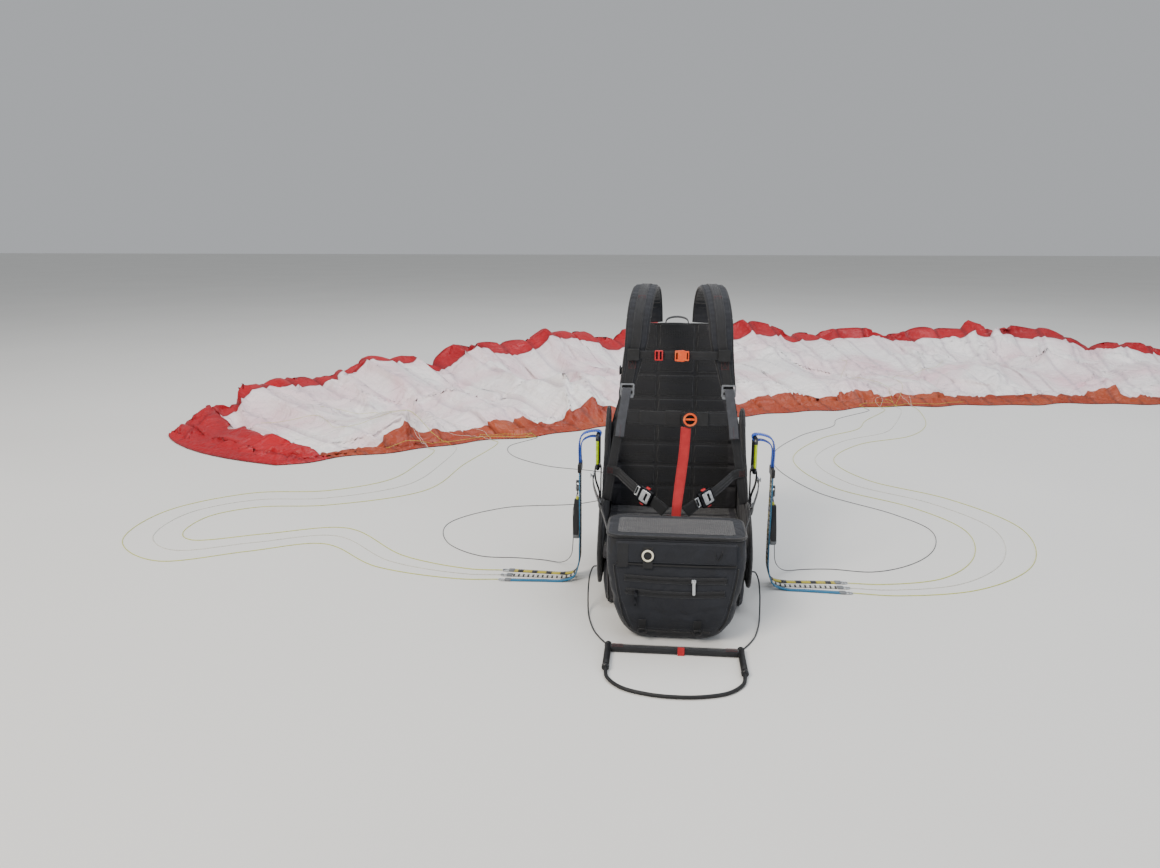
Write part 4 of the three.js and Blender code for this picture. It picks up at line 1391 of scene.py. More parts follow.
@dataclass
class Lines:
    """Slack main lines and brake lines on the ground, from the risers to the trailing edge."""

    wing: Wing
    diameter: float = 0.0022
    rest: float = 1.4 * MM
    facet_share: float = 0.92 / 28
    facets: ClassVar[dict] = {LEFT: (4, 3, 2, 1), RIGHT: (-24, -23, -21, -19)}
    # places on the floor, in metres; the line's own height where there is no third number
    ways: ClassVar[dict] = {
        LEFT: {
            "a": [(0.5004, -0.079, 0.0023), (0.62, -0.084, 0.0015), (0.86, -0.02), (1.09, 0.19), (1.18, 0.52),
                  (1.04, 0.82), (0.8, 1.04), (0.72, 1.33), (0.9, 1.64), (1.18, 1.83), (1.33, 2.08)],
            "b": [(0.5004, -0.045, 0.0023), (0.61, -0.046, 0.0015), (0.82, 0.015), (1.01, 0.21), (1.085, 0.5),
                  (0.96, 0.76), (0.72, 0.985), (0.64, 1.33), (0.83, 1.69), (1.08, 1.9), (1.19, 2.12)],
            "c": [(0.5004, -0.011, 0.0023), (0.6, -0.009, 0.0015), (0.78, 0.05), (0.93, 0.23), (0.985, 0.48),
                  (0.88, 0.7), (0.64, 0.93), (0.545, 1.33), (0.74, 1.74), (0.96, 1.96), (1.04, 2.15)],
            "brake": [(0.59, 0.08), (0.72, 0.15), (0.83, 0.29), (0.87, 0.47), (0.79, 0.62), (0.56, 0.87),
                      (0.45, 1.33), (0.65, 1.79), (0.85, 2.02), (0.9, 2.18)],
        },
        RIGHT: {
            "a": [(-0.5004, -0.079, 0.0023), (-0.62, -0.084, 0.0015), (-0.88, -0.02), (-1.12, 0.15),
                  (-1.33, 0.06), (-1.56, -0.04), (-1.78, 0.12), (-1.8, 0.42), (-1.6, 0.64), (-1.32, 0.7),
                  (-1.13, 0.86), (-1.08, 1.12)],
            "b": [(-0.5004, -0.045, 0.0023), (-0.61, -0.046, 0.0015), (-0.85, 0.025), (-1.11, 0.225),
                  (-1.34, 0.14), (-1.56, 0.05), (-1.7, 0.16), (-1.71, 0.4), (-1.55, 0.56), (-1.29, 0.61),
                  (-1.04, 0.8), (-0.98, 1.12)],
            "c": [(-0.5004, -0.011, 0.0023), (-0.6, -0.009, 0.0015), (-0.82, 0.07), (-1.1, 0.3), (-1.34, 0.22),
                  (-1.55, 0.14), (-1.62, 0.2), (-1.62, 0.37), (-1.5, 0.48), (-1.25, 0.53), (-0.95, 0.73),
                  (-0.88, 1.12)],
            "brake": [(-0.59, 0.095), (-0.72, 0.2), (-0.76, 0.38), (-0.6, 0.56), (-0.32, 0.64), (-0.15, 0.82),
                      (-0.26, 1.04), (-0.52, 1.13), (-0.7, 1.29), (-0.74, 1.45)],
        },
    }
    pulley: ClassVar[tuple] = (0.2728, -0.025, 0.268)
    pulley_radius: float = 0.0092
    brake_down: ClassVar[tuple] = (
        (0.28, -0.008, 0.235), (0.289, 0.0, 0.2), (0.291, 0.006, 0.15), (0.292, 0.014, 0.09),
        (0.3, 0.026, 0.04), (0.33, 0.053, 0.008), (0.39, 0.08, 0.0018), (0.47, 0.09, 0.0014),
    )
    finishes: ClassVar[dict] = {
        "a": Finish.YELLOW_LINE, "b": Finish.WHITE_LINE, "c": Finish.YELLOW_LINE, "brake": Finish.DARK_LINE,
    }

    def routes(self) -> Iterable[tuple[str, int, list[Point]]]:
        """Letter, side and points of each line, in metres, from riser to wing.

        Returns:
            A row for each line.
        """
        for sign, ways in self.ways.items():
            for (letter, way), facet in zip(ways.items(), self.facets[sign]):
                start = self.brake_start(sign) if letter == "brake" else []
                ends = [self.edge_point(facet * self.facet_share, gap) for gap in (0.045, 0.0005)]
                yield letter, sign, [*start, *((*p, self.rest)[:3] for p in way), *ends]

    def edge_point(self, u: float, gap: float) -> Point:
        """A point just off the trailing edge, as the part's own lines end.

        Args:
            u: share of the half span.
            gap: distance from the edge.

        Returns:
            The point.
        """
        wing = self.wing
        angle, radius = u * wing.half_arc - wing.turn, wing.radius - float(wing.chord(np.array(u))) / 2 - gap
        return (wing.centre[0] + radius * math.sin(angle), wing.centre[1] + radius * math.cos(angle), self.rest)

    def brake_start(self, sign: int) -> list[Point]:
        """Way of a brake line from its handle over the pulley and down to the floor.

        Args:
            sign: the side.

        Returns:
            The points.
        """
        x, y, z = self.pulley
        over = [(x, a, b) for a, b in arc(y, z, self.pulley_radius, 180, 0, 6)]
        return mirrored([(x, y - self.pulley_radius, 0.2463), *over, *self.brake_down], sign)

    def build(self) -> None:
        """Makes the lines."""
        for letter, sign, way in self.routes():
            name = f"line_{letter}_{SIDES[sign]}"
            piece = cord(f"{name}_cord", spline(way, 260, even=True), self.diameter, self.finishes[letter])
            settle(piece, stands_for=[name])


@dataclass
class UpperLines:
    """The upper lines, which fan out over the laid wing from each main line's end."""

    lines: Lines
    diameter: float = 0.0014
    window: int = 6
    rows: ClassVar[dict] = {"a": 0.2, "b": 0.42, "c": 0.66, "brake": 0.97}

    def heights(self, tree: BVHTree, points: Grid) -> Grid:
        """Heights of a slack line that bridges the small folds of the cloth under it.

        Args:
            tree: the cloth's faces.
            points: points along the line, seen from above.

        Returns:
            A height for each point.
        """
        hits = [tree.ray_cast(Vector((x, y, 1)), Vector((0, 0, -1)))[0] for x, y, _ in points]
        under = np.array([hit.z if hit else 0.0 for hit in hits])
        edge, width = self.window, 2 * self.window + 1
        padded = np.pad(under, edge, mode="edge")
        high = np.max([padded[k : k + len(under)] for k in range(width)], axis=0)
        soft = np.convolve(np.pad(high, edge, mode="edge"), np.full(width, 1 / width), mode="valid")
        ease = np.clip(np.arange(len(under)) / (3 * edge), 0, 1)
        return under + (soft - under) * ease + self.diameter

    def build(self) -> None:
        """Makes two upper lines for each main line."""
        tree = surface_tree(bpy.data.objects["wing_belly"])
        wing, rng = self.lines.wing, np.random.default_rng(5)
        for letter, sign, way in self.lines.routes():
            start = np.array(way[-1])
            off = start[:2] - np.array(wing.centre)
            u0 = (math.atan2(off[0], off[1]) + wing.turn) / wing.half_arc
            finish = Finish.WHITE_LINE if letter in ("a", "c") else Finish.YELLOW_LINE
            for k in range(2):
                end_u = np.clip(u0 + sign * (0.06 + 0.16 * k) + rng.uniform(-0.02, 0.02), -0.9, 0.9)
                end_v = self.rows[letter] + rng.uniform(-0.02, 0.02)
                share = np.linspace(0, 1, 160)
                sway = 0.03 * np.sin(share * 7 + rng.uniform(0, 6)) * np.sin(np.pi * share)
                u = u0 + (end_u - u0) * share + sway
                points = wing.place(u, 1.004 + (end_v - 1.004) * share**0.9, np.zeros_like(u))
                points[0, :2] = start[:2]
                points[:, 2] = self.heights(tree, points)
                name = f"upper_line_{letter}_{SIDES[sign]}_{k + 1}"
                settle(cord(name, points, self.diameter, finish))


# Soft forms and stitches


@dataclass
class Stuffing:
    """How a soft form is rounded, blown up and creased. Lengths in metres."""

    voxel: float = 6 * MM
    rounds: int = 10
    pressure: float = 0.0
    limit: float = 12 * MM
    wave: float = 1.5 * MM
    crease: float = 1.5 * MM
    scale: float = 11.0
    fill: float = 0.7

    def form(self, name: str, outline: Outline, low: float, high: float, axis: str = "x") -> Piece:
        """Makes a stuffed charcoal form of an outline between two places along an axis.

        Args:
            name: the object's name.
            outline: points in the other two axes, in X, Y, Z order.
            low: start along the axis.
            high: end along the axis.
            axis: x, y or z.

        Returns:
            The form, rounded, blown up and creased.
        """
        piece = slab(name, outline, low, high, Finish.CHARCOAL, axis)
        cells = piece.modifiers.new("voxels", "REMESH")
        cells.mode, cells.voxel_size = "VOXEL", self.voxel
        round_off = piece.modifiers.new("rounding", "SMOOTH")
        round_off.factor, round_off.iterations = 0.5, self.rounds
        evaluated(piece)
        if self.pressure:
            self.blow_up(piece)
        points, seed = points_of(piece), (sum(map(ord, name)) % 97) * 1.37
        push = self.wave * waviness(points, self.scale, seed)
        push -= self.crease * creasing(points, self.scale * 0.8, seed + 5)
        push -= self.crease * 0.6 * creasing(points, self.scale * 2.1, seed + 9)
        reshaped(piece, points + points_of(piece, normals=True) * push[:, None])
        finer = piece.modifiers.new("finer", "SUBSURF")
        finer.levels = finer.render_levels = 1
        evaluated(piece)
        piece.data.materials.clear()
        piece.data.materials.append(Finish.CHARCOAL.material)
        piece.data.polygons.foreach_set("material_index", [0] * len(piece.data.polygons))
        smooth(piece.data)
        return piece

    def blow_up(self, piece: Piece) -> None:
        """Blows the form up like a pad with its edges sewn, no point moving further than the limit.

        Args:
            piece: the form.
        """
        before = points_of(piece)
        stiffness = dict(tension_stiffness=15, compression_stiffness=15, shear_stiffness=5, bending_stiffness=0.5)
        air = dict(use_pressure=True, uniform_pressure_force=self.pressure)
        after = simulated(piece, frames=20, quality=4, mass=0.3, **stiffness, **air)
        far = np.linalg.norm(after - before, axis=1)
        share = np.minimum(far, self.limit) / np.maximum(far, 1e-9)
        reshaped(piece, before + (after - before) * share[:, None])


@dataclass
class Stitching:
    """Rows of stitches, coil teeth and other small things that repeat along a path."""

    rows: list[tuple[str, Finish, Grid, float, float, float]] = field(default_factory=list)

    def along(
        self,
        points: Grid,
        finish: Finish = Finish.THREAD,
        body: str = ROOT,
        spacing: float = 5 * MM,
        length: float = 3.4 * MM,
        thick: float = 0.9 * MM,
    ) -> None:
        """Notes a row of stitches along a path on the surface, with their sizes in metres."""
        self.rows.append((body, finish, np.asarray(points, float)[:, :3], spacing, length, thick))

    def edges(
        self,
        stops: Sequence[Point],
        side: Point,
        across: float,
        outs: Sequence[float] = (1.2,),
        samples: int = 80,
        finish: Finish = Finish.THREAD,
        body: str = ROOT,
    ) -> None:
        """Notes rows of stitches along both edges of a strap.

        Args:
            stops: rows of x, y, z, width and thickness.
            side: direction of the width.
            across: share of the half width where they run.
            outs: shares of the half thickness, above or below the middle.
            samples: how many points each row has.
            finish: the thread's finish.
            body: the body that they move with.
        """
        for edge in (-across, across):
            for out in outs:
                self.along(strap_line(stops, side, edge, out, samples), finish, body)

    def tack(self, centre: Point, wide: Point, tall: Point, width: float, height: float) -> None:
        """Notes a box stitch with a cross, in dark red thread.

        Args:
            centre: its middle, on the surface.
            wide: direction of its width.
            tall: direction of its height.
            width: its width.
            height: its height.
        """
        c, w, h = np.array(centre, float), np.array(wide, float) * width / 2, np.array(tall, float) * height / 2
        corners = (c - w - h, c + w - h, c + w + h, c - w + h)
        for order in ((0, 1, 2, 3, 0), (0, 2, 3, 1)):
            path = dense([corners[i] for i in order], 2 * MM, False)
            self.along(path, Finish.RED_THREAD, spacing=2.4 * MM, length=2.2 * MM)

    def tree(self) -> bpy.types.NodeTree:
        """Makes the node tree that sets beads along mesh edges, with its sizes as inputs.

        Returns:
            The tree.
        """
        tree = bpy.data.node_groups.new("beads_along_paths", "GeometryNodeTree")
        sizes = dict.fromkeys(("Spacing", "Length", "Thickness"), "Float")
        for name, kind in ({"Geometry": "Geometry"} | sizes | {"Material": "Material"}).items():
            tree.interface.new_socket(name, in_out="INPUT", socket_type=f"NodeSocket{kind}")
        tree.interface.new_socket("Geometry", in_out="OUTPUT", socket_type="NodeSocketGeometry")
        given = add_node(tree, "NodeGroupInput").node.outputs
        path = add_node(tree, "GeometryNodeMeshToCurve", {"Mesh": given["Geometry"]})
        points = add_node(tree, "GeometryNodeResampleCurve", {"Curve": path, "Length": given["Spacing"]}, mode="LENGTH")
        bead = add_node(tree, "GeometryNodeMeshUVSphere", {"Segments": 6, "Rings": 3, "Radius": 0.5})
        way = add_node(tree, "GeometryNodeInputTangent")
        turn = add_node(tree, "FunctionNodeAlignRotationToVector", {"Vector": way}, axis="Z")
        scale = {"X": given["Thickness"], "Y": given["Thickness"], "Z": given["Length"]}
        size = add_node(tree, "ShaderNodeCombineXYZ", scale)
        laid = {"Points": points, "Instance": bead, "Rotation": turn, "Scale": size}
        beads = add_node(tree, "GeometryNodeInstanceOnPoints", laid)
        real = add_node(tree, "GeometryNodeRealizeInstances", {"Geometry": beads})
        painted = add_node(tree, "GeometryNodeSetMaterial", {"Geometry": real, "Material": given["Material"]})
        add_node(tree, "NodeGroupOutput", {"Geometry": painted})
        return tree

    def build(self) -> None:
        """Makes one plain mesh for each body, finish and size."""
        tree = self.tree()
        kinds: dict[tuple, list[Grid]] = {}
        for body, finish, points, *sizes in self.rows:
            kinds.setdefault((body, finish, *sizes), []).append(points)
        names = {item.name: item.identifier for item in tree.interface.items_tree if item.in_out == "INPUT"}
        for number, ((body, finish, spacing, length, thick), paths) in enumerate(kinds.items()):
            edges, start = [], 0
            for path in paths:
                edges += [(start + i, start + i + 1) for i in range(len(path) - 1)]
                start += len(path)
            mesh = bpy.data.meshes.new("stitch_path")
            mesh.from_pydata(np.vstack(paths).tolist(), edges, [])
            piece = linked(f"stitches_{number + 1}_{finish.name.lower()}", mesh)
            maker = piece.modifiers.new("beads", "NODES")
            maker.node_group = tree
            values = {"Spacing": spacing, "Length": length, "Thickness": thick, "Material": finish.material}
            for key, value in values.items():
                maker[names[key]] = value
            smooth(evaluated(piece).data)
            settle(piece, body)


def strap_line(stops: Sequence[Point], side: Point, across: float, out: float, samples: int = 60) -> Grid:
    """A line on a strap, for stitches and bindings.

    Args:
        stops: rows of x, y, z, width and thickness.
        side: direction of the width.
        across: share of the half width.
        out: share of the half thickness, above or below the middle.
        samples: how many points.

    Returns:
        Points on the strap.
    """
    line = spline(stops, samples)
    wide, thick = frames_along(line[:, :3], side)
    return line[:, :3] + wide * (line[:, 3:4] / 2 * across) + thick * (line[:, 4:5] / 2 * out)


# The harness

# heights of the seat cushion's top and underside
SEAT_TOP, SEAT_BOTTOM = 0.171, 0.1306
# back panel: place of its front at the seat's top, lean per metre of height, and thickness
BACK_FRONT, BACK_LEAN, BACK_THICK = 0.118, 0.11, 0.038
# middle of the left hip ring, and the distance up and down to the middles of its two bars
RING, RING_HALF_HIGH = (0.2147, -0.045, 0.385), 0.048
# radius of a webbing's way round such a bar
WEBBING_TURN = 7.9 * MM


def back_front(z: Grid | float) -> Grid | float:
    """Front of the back panel at a height."""
    return BACK_FRONT + (z - SEAT_TOP) * BACK_LEAN


def bag_front(z: Grid | float) -> Grid | float:
    """Front of the bag that is sewn behind the back panel, at a height."""
    return back_front(z) + BACK_THICK + 0.0006


def dip_at(places: Grid, lines: Iterable[float], width: float) -> Grid:
    """Depth of sewn channels, 1 along the lines and 0 between them."""
    return sum(np.exp(-(((places - line) / width) ** 2)) for line in lines)


@dataclass
class Airbag:
    """Air-filled protector under the seat and behind the back, of creased pack cloth."""

    stitching: Stitching
    outline: tuple = (
        (-0.205, 0), (0.215, 0), (0.298, 0.03), (0.352, 0.096), (0.374, 0.185), (0.364, 0.275),
        (0.32, 0.35), (0.255, 0.39), (0.182, 0.398), (0.1675, 0.262), (0.166, 0.128),
        (-0.21, 0.128), (-0.232, 0.1), (-0.238, 0.05), (-0.225, 0.012),
    )
    half: float = 0.186
    most: float = 0.1895
    rear_rows: tuple = (0.14, 0.25)
    tab_at: Point = (0.19, 0.255, 0.19)

    def build(self) -> None:
        """Makes the protector with its darker side panels, piped seams and the valve's red pull tab."""
        size = dict(voxel=7 * MM, rounds=12, limit=7 * MM, wave=3.5 * MM, crease=4 * MM, scale=6.5)
        soft = Stuffing(**size, pressure=3.0, fill=0.8)
        bag = soft.form("airbag", self.outline, -self.half, self.half)
        p = points_of(bag)
        reshaped(bag, np.stack([np.clip(p[:, 0], -self.most, self.most), p[:, 1], np.maximum(p[:, 2], 0.0008)], 1))
        toned(bag, Finish.NAVY, lambda c, n: np.abs(n[:, 0]) > 0.62)
        settle(bag, stands_for=["airbag_base", "airbag_rear"])
        path = drawn_in(rounded(self.outline, 6 * MM, 12), 5 * MM)
        for sign in SIDES:
            seam = on_surface(bag, on_plane(sign * (self.half - 0.012), path), 0.6 * MM)
            settle(ring_tube(f"airbag_piping_{SIDES[sign]}", seam, 2.2 * MM, Finish.PIPING))
            self.stitching.along(on_surface(bag, on_plane(sign * (self.half - 0.027), path), 0.3 * MM))
        for height in self.rear_rows:
            line = np.array([(x, 0.42, height) for x in np.linspace(-0.15, 0.15, 60)])
            self.stitching.along(on_surface(bag, line, 0.3 * MM))
        place = on_surface(bag, np.array([self.tab_at]), 2.4 * MM)[0]
        tab = plate("pull_tab", (-0.011, 0.011, -0.017, 0.017, 0.002), -0.0012, 0.0012, Finish.RED_WEBBING, 0.0005)
        settle(moved_to(tab, place, FORTH, (0, 0.25, 1)))


@dataclass
class Seat:
    """Seat cushion with a spacer mesh top and a piped edge."""

    stitching: Stitching
    outline: tuple = (
        (-0.229, 0.142), (-0.218, SEAT_BOTTOM), (0.155, SEAT_BOTTOM), (0.163, 0.142), (0.163, 0.16),
        (0.155, SEAT_TOP), (-0.205, SEAT_TOP), (-0.225, 0.162),
    )
    half: float = 0.189
    rows: tuple = (-0.12, -0.03, 0.06)

    def build(self) -> None:
        """Makes the cushion."""
        soft = Stuffing(voxel=5 * MM, rounds=5, wave=1.4 * MM, crease=1.2 * MM, scale=14, fill=0.8)
        pad = soft.form("seat_cushion", self.outline, -self.half, self.half)
        p = points_of(pad)
        p[:, 2] -= 0.004 * dip_at(p[:, 1], self.rows, 0.006) * (p[:, 2] > SEAT_TOP - 0.006)
        reshaped(pad, p)
        toned(pad, Finish.MESH, lambda c, n: (n[:, 2] > 0.6) & (np.abs(c[:, 0]) < 0.165) & (c[:, 1] > -0.2))
        settle(pad, stands_for=["seat_pad"])
        reach = self.half - 0.004
        rim = rounded(rounded_box(-reach, reach, -0.222, 0.158, 0.015), 6 * MM, 3)
        edge = on_surface(pad, at_height(rim, SEAT_TOP), 0.2 * MM)
        settle(ring_tube("seat_piping", edge, 2 * MM, Finish.PIPING))
        for y in self.rows:
            row = np.array([(x, y, SEAT_TOP + 0.01) for x in np.linspace(-0.16, 0.16, 70)])
            self.stitching.along(on_surface(pad, row, 0.2 * MM))


@dataclass
class BackRest:
    """Leaning back pad with sewn channels, and the bag behind it."""

    stitching: Stitching
    # heights and half widths of the pad
    levels: tuple = ((0.1715, 0.186), (0.3, 0.189), (0.42, 0.188), (0.56, 0.152), (0.66, 0.128), (0.716, 0.112))
    rows: tuple = (0.235, 0.3, 0.365, 0.43, 0.5, 0.57, 0.635)
    column: float = 0.055
    bag_half: float = 0.164
    bag_outline: tuple = (
        (bag_front(0.402), 0.402), (0.258, 0.399), (0.314, 0.418), (0.34, 0.48), (0.338, 0.56), (0.314, 0.64),
        (0.278, 0.688), (0.236, 0.706), (bag_front(0.702), 0.702),
    )
    loop: tuple = (
        (-0.035, 0.236, 0.7), (-0.03, 0.24, 0.722), (0, 0.243, 0.73), (0.03, 0.24, 0.722), (0.035, 0.236, 0.7),
    )

    def half(self, z: Grid | float) -> Grid | float:
        """Half width of the pad at a height."""
        return np.interp(z, *np.transpose(self.levels))

    def pad(self) -> None:
        """Makes the back pad with a mesh face."""
        right = [(half, z) for z, half in self.levels]
        outline = [*right, *mirrored(reversed(right), RIGHT)]
        soft = Stuffing(voxel=5 * MM, rounds=5, wave=1.2 * MM, crease=1 * MM, scale=13, fill=0.7)
        pad = soft.form("back_pad", outline, 0.0, BACK_THICK, "y")
        p = points_of(pad)
        dip = dip_at(p[:, 2], self.rows, 0.0055) + dip_at(np.abs(p[:, 0]), [self.column], 0.0055)
        p[:, 1] += 0.006 * np.minimum(dip, 1) * np.clip(1 - p[:, 1] / 0.012, 0, 1) + back_front(p[:, 2])
        reshaped(pad, p)
        toned(pad, Finish.MESH, lambda c, n: (n[:, 1] < -0.5) & (np.abs(c[:, 0]) < self.half(c[:, 2]) - 0.03))
        settle(pad, stands_for=["back_panel"])
        x, z = rounded(outline, 6 * MM, 4).T
        path = on_surface(pad, np.column_stack([x, back_front(z) + 0.003, z]), 0.2 * MM)
        settle(ring_tube("back_pad_piping", path, 2.2 * MM, Finish.PIPING))
        for z in self.rows:
            half = self.half(z) - 0.032
            row = np.array([(x, back_front(z) - 0.01, z) for x in np.linspace(-half, half, 60)])
            self.stitching.along(on_surface(pad, row, 0.2 * MM))

    def bag(self) -> Piece:
        """Makes the bag behind the back, fuller in its middle and narrower towards its top.

        Returns:
            The bag.
        """
        size = dict(voxel=6 * MM, rounds=9, limit=8 * MM, wave=3.2 * MM, crease=3.6 * MM, scale=8)
        soft = Stuffing(**size, pressure=3.0, fill=0.5)
        bag = soft.form("back_bag", self.bag_outline, -self.bag_half, self.bag_half)
        x, y, z = points_of(bag).T
        base = bag_front(z)
        full = 1 - 0.38 * np.clip((np.abs(x) - 0.11) / 0.06, 0, 1) ** 1.6
        narrow = 1 - 0.1 * np.clip((z - 0.5) / 0.2, 0, 1)
        reshaped(bag, np.column_stack([x * narrow, base + np.maximum(0, y - base) * full, z]))
        toned(bag, Finish.NAVY, lambda c, n: (np.abs(n[:, 0]) > 0.75) | (n[:, 1] < -0.6))
        return settle(bag, stands_for=["back_container"])

    def trim(self, bag: Piece) -> None:
        """Makes the bag's piped seams, side straps, zip and carrying loop.

        Args:
            bag: the bag.
        """
        path = rounded(self.bag_outline, 5 * MM, 8)
        path = path[(path[:, 0] > bag_front(path[:, 1]) + 0.02)] + [[0.01, 0]]
        for sign in SIDES:
            places = ((0.105, 0.6 * MM), (0.132, 0.4 * MM))
            lines = [on_surface(bag, on_plane(sign * x, path), lift) for x, lift in places]
            seam, row = (line[np.argsort(line[:, 2])] for line in lines)
            settle(tube(f"bag_piping_{SIDES[sign]}", spline(seam[::6], 60), 2 * MM, Finish.PIPING, 8))
            self.stitching.along(row)
            self.compression(bag, sign)
        zip_path = np.array([(x, 0.36, 0.655 - 0.9 * x * x) for x in np.linspace(-0.09, 0.09, 50)])
        Zip("bag_zip", on_surface(bag, zip_path, 0.4 * MM), (0, 0.35, 1), self.stitching).build()
        stops = [(*p, 0.024, 0.003) for p in self.loop]
        settle(strap("carrying_loop", stops, (0, 1, 0.1), Finish.BLACK_WEBBING, 30))

    def compression(self, bag: Piece, sign: int) -> None:
        """Makes a side strap that pulls the bag flat, with its plastic buckle.

        Args:
            bag: the bag.
            sign: the side.
        """
        way = [(0.19, 0.2, 0.575), (0.19, 0.23, 0.57), (0.19, 0.262, 0.562), (0.19, 0.3, 0.552)]
        way += [(0.12, 0.36, 0.546), (0.1, 0.36, 0.545)]
        line = on_surface(bag, mirrored(way, sign), 1.6 * MM)
        name = SIDES[sign]
        band = strap(f"bag_strap_{name}", [(*p, 0.018, 0.002) for p in line], (0, 0.1, 1), Finish.BLACK_WEBBING, 40)
        box = (-0.014, 0.014, -0.012, 0.012, 0.003)
        frame = plate(f"bag_buckle_{name}", box, -0.002, 0.003, Finish.BLACK_PLASTIC, 0.001)
        moved_to(frame, line[1] + np.array([sign * 0.003, 0, 0]), (0, sign, -0.1), UP)
        settle(joined(f"bag_strap_{name}_buckled", band, frame))

    def build(self) -> None:
        """Makes the back."""
        self.pad()
        self.trim(self.bag())


@dataclass
class Zip:
    """Coil zip on its tape, with a slider and a pull."""

    name: str
    path: Grid
    wide: Point
    stitching: Stitching
    metal: Finish = Finish.BLACK_STEEL
    body: str = ROOT
    tape: float = 0.022
    share: float = 0.55

    def build(self) -> None:
        """Makes the tape, the coil and the slider."""
        at = np.linspace(0, len(self.path) - 1, 15).astype(int)
        stops = [(*p, self.tape, 0.0012) for p in self.path[at]]
        settle(strap(f"{self.name}_tape", stops, self.wide, Finish.BLACK_WEBBING, 50), self.body)
        self.stitching.along(self.path, Finish.BLACK_PLASTIC, self.body, 2.1 * MM, 1.5 * MM, 4.6 * MM)
        self.stitching.edges(stops, self.wide, 0.82, (1.3,), 60, body=self.body)
        i = int(self.share * (len(self.path) - 2))
        parts = (
            ("slider", (-0.0055, 0.0055, -0.005, 0.005, 0.002), -0.0045, 0.001, 0.0012),
            ("bridge", (-0.0035, 0.0035, -0.0015, 0.0015, 0.001), -0.0065, -0.004, 0.0006),
            ("pull", (-0.0035, 0.0035, -0.034, 0.001, 0.003), -0.0066, -0.005, 0.0006),
        )
        items = [plate(name, box, low, high, self.metal, edge) for name, box, low, high, edge in parts]
        item = moved_to(joined(f"{self.name}_slider", *items), self.path[i], self.path[i + 1] - self.path[i], self.wide)
        settle(item, self.body)


@dataclass
class SidePanels:
    """Padded side panels with bound edges, a zipped pocket and a red tab."""

    stitching: Stitching
    inner: float = 0.1906
    thick: float = 0.014
    outline: tuple = (
        (-0.205, 0.062), (0.16, 0.062), (0.205, 0.11), (0.226, 0.21), (0.206, 0.4), (0.18, 0.462), (0.15, 0.468),
        (0.11, 0.436), (0.06, 0.366), (0, 0.3), (-0.052, 0.255), (-0.118, 0.255), (-0.19, 0.212), (-0.224, 0.15),
        (-0.222, 0.09),
    )

    def build(self) -> None:
        """Makes both panels."""
        edge = rounded(self.outline, 6 * MM, 5)
        soft = Stuffing(voxel=4.5 * MM, rounds=3, wave=1.3 * MM, crease=1.6 * MM, scale=12, fill=0.5)
        for sign, name in SIDES.items():
            low, high = sorted((sign * self.inner, sign * (self.inner + self.thick)))
            panel = soft.form(f"side_cloth_{name}", self.outline, low, high)
            toned(panel, Finish.NAVY, lambda c, n: (n[:, 0] * sign > 0.5) & (c[:, 2] < 0.19))
            settle(panel, stands_for=[f"side_panel_{name}"])
            bound = on_plane(sign * (self.inner + self.thick / 2), edge)
            settle(ring_tube(f"side_binding_{name}", bound, 5.5 * MM, Finish.PIPING, 10))
            outside = sign * 0.22
            for depth in (0.012, 0.016):
                self.stitching.along(on_surface(panel, on_plane(outside, drawn_in(edge, depth)), 0.2 * MM))
            y = np.linspace(-0.15, 0.15, 40)
            path = on_surface(panel, on_plane(outside, np.column_stack([y, 0.19 - 0.02 * (y / 0.15) ** 2])), 0.3 * MM)
            Zip(f"pocket_zip_{name}", path[:: -sign], UP, self.stitching, tape=0.016).build()
            box = (-0.006, 0.006, -0.013, 0.013, 0.001)
            tab = plate("tab", box, -0.0008, 0.0008, Finish.RED_WEBBING, 0.0004)
            moved_to(tab, (sign * 0.2085, 0.195, 0.28), (0, sign, 0.1), (0, -0.1, 1), f"side_tab_{name}")
            settle(tab)


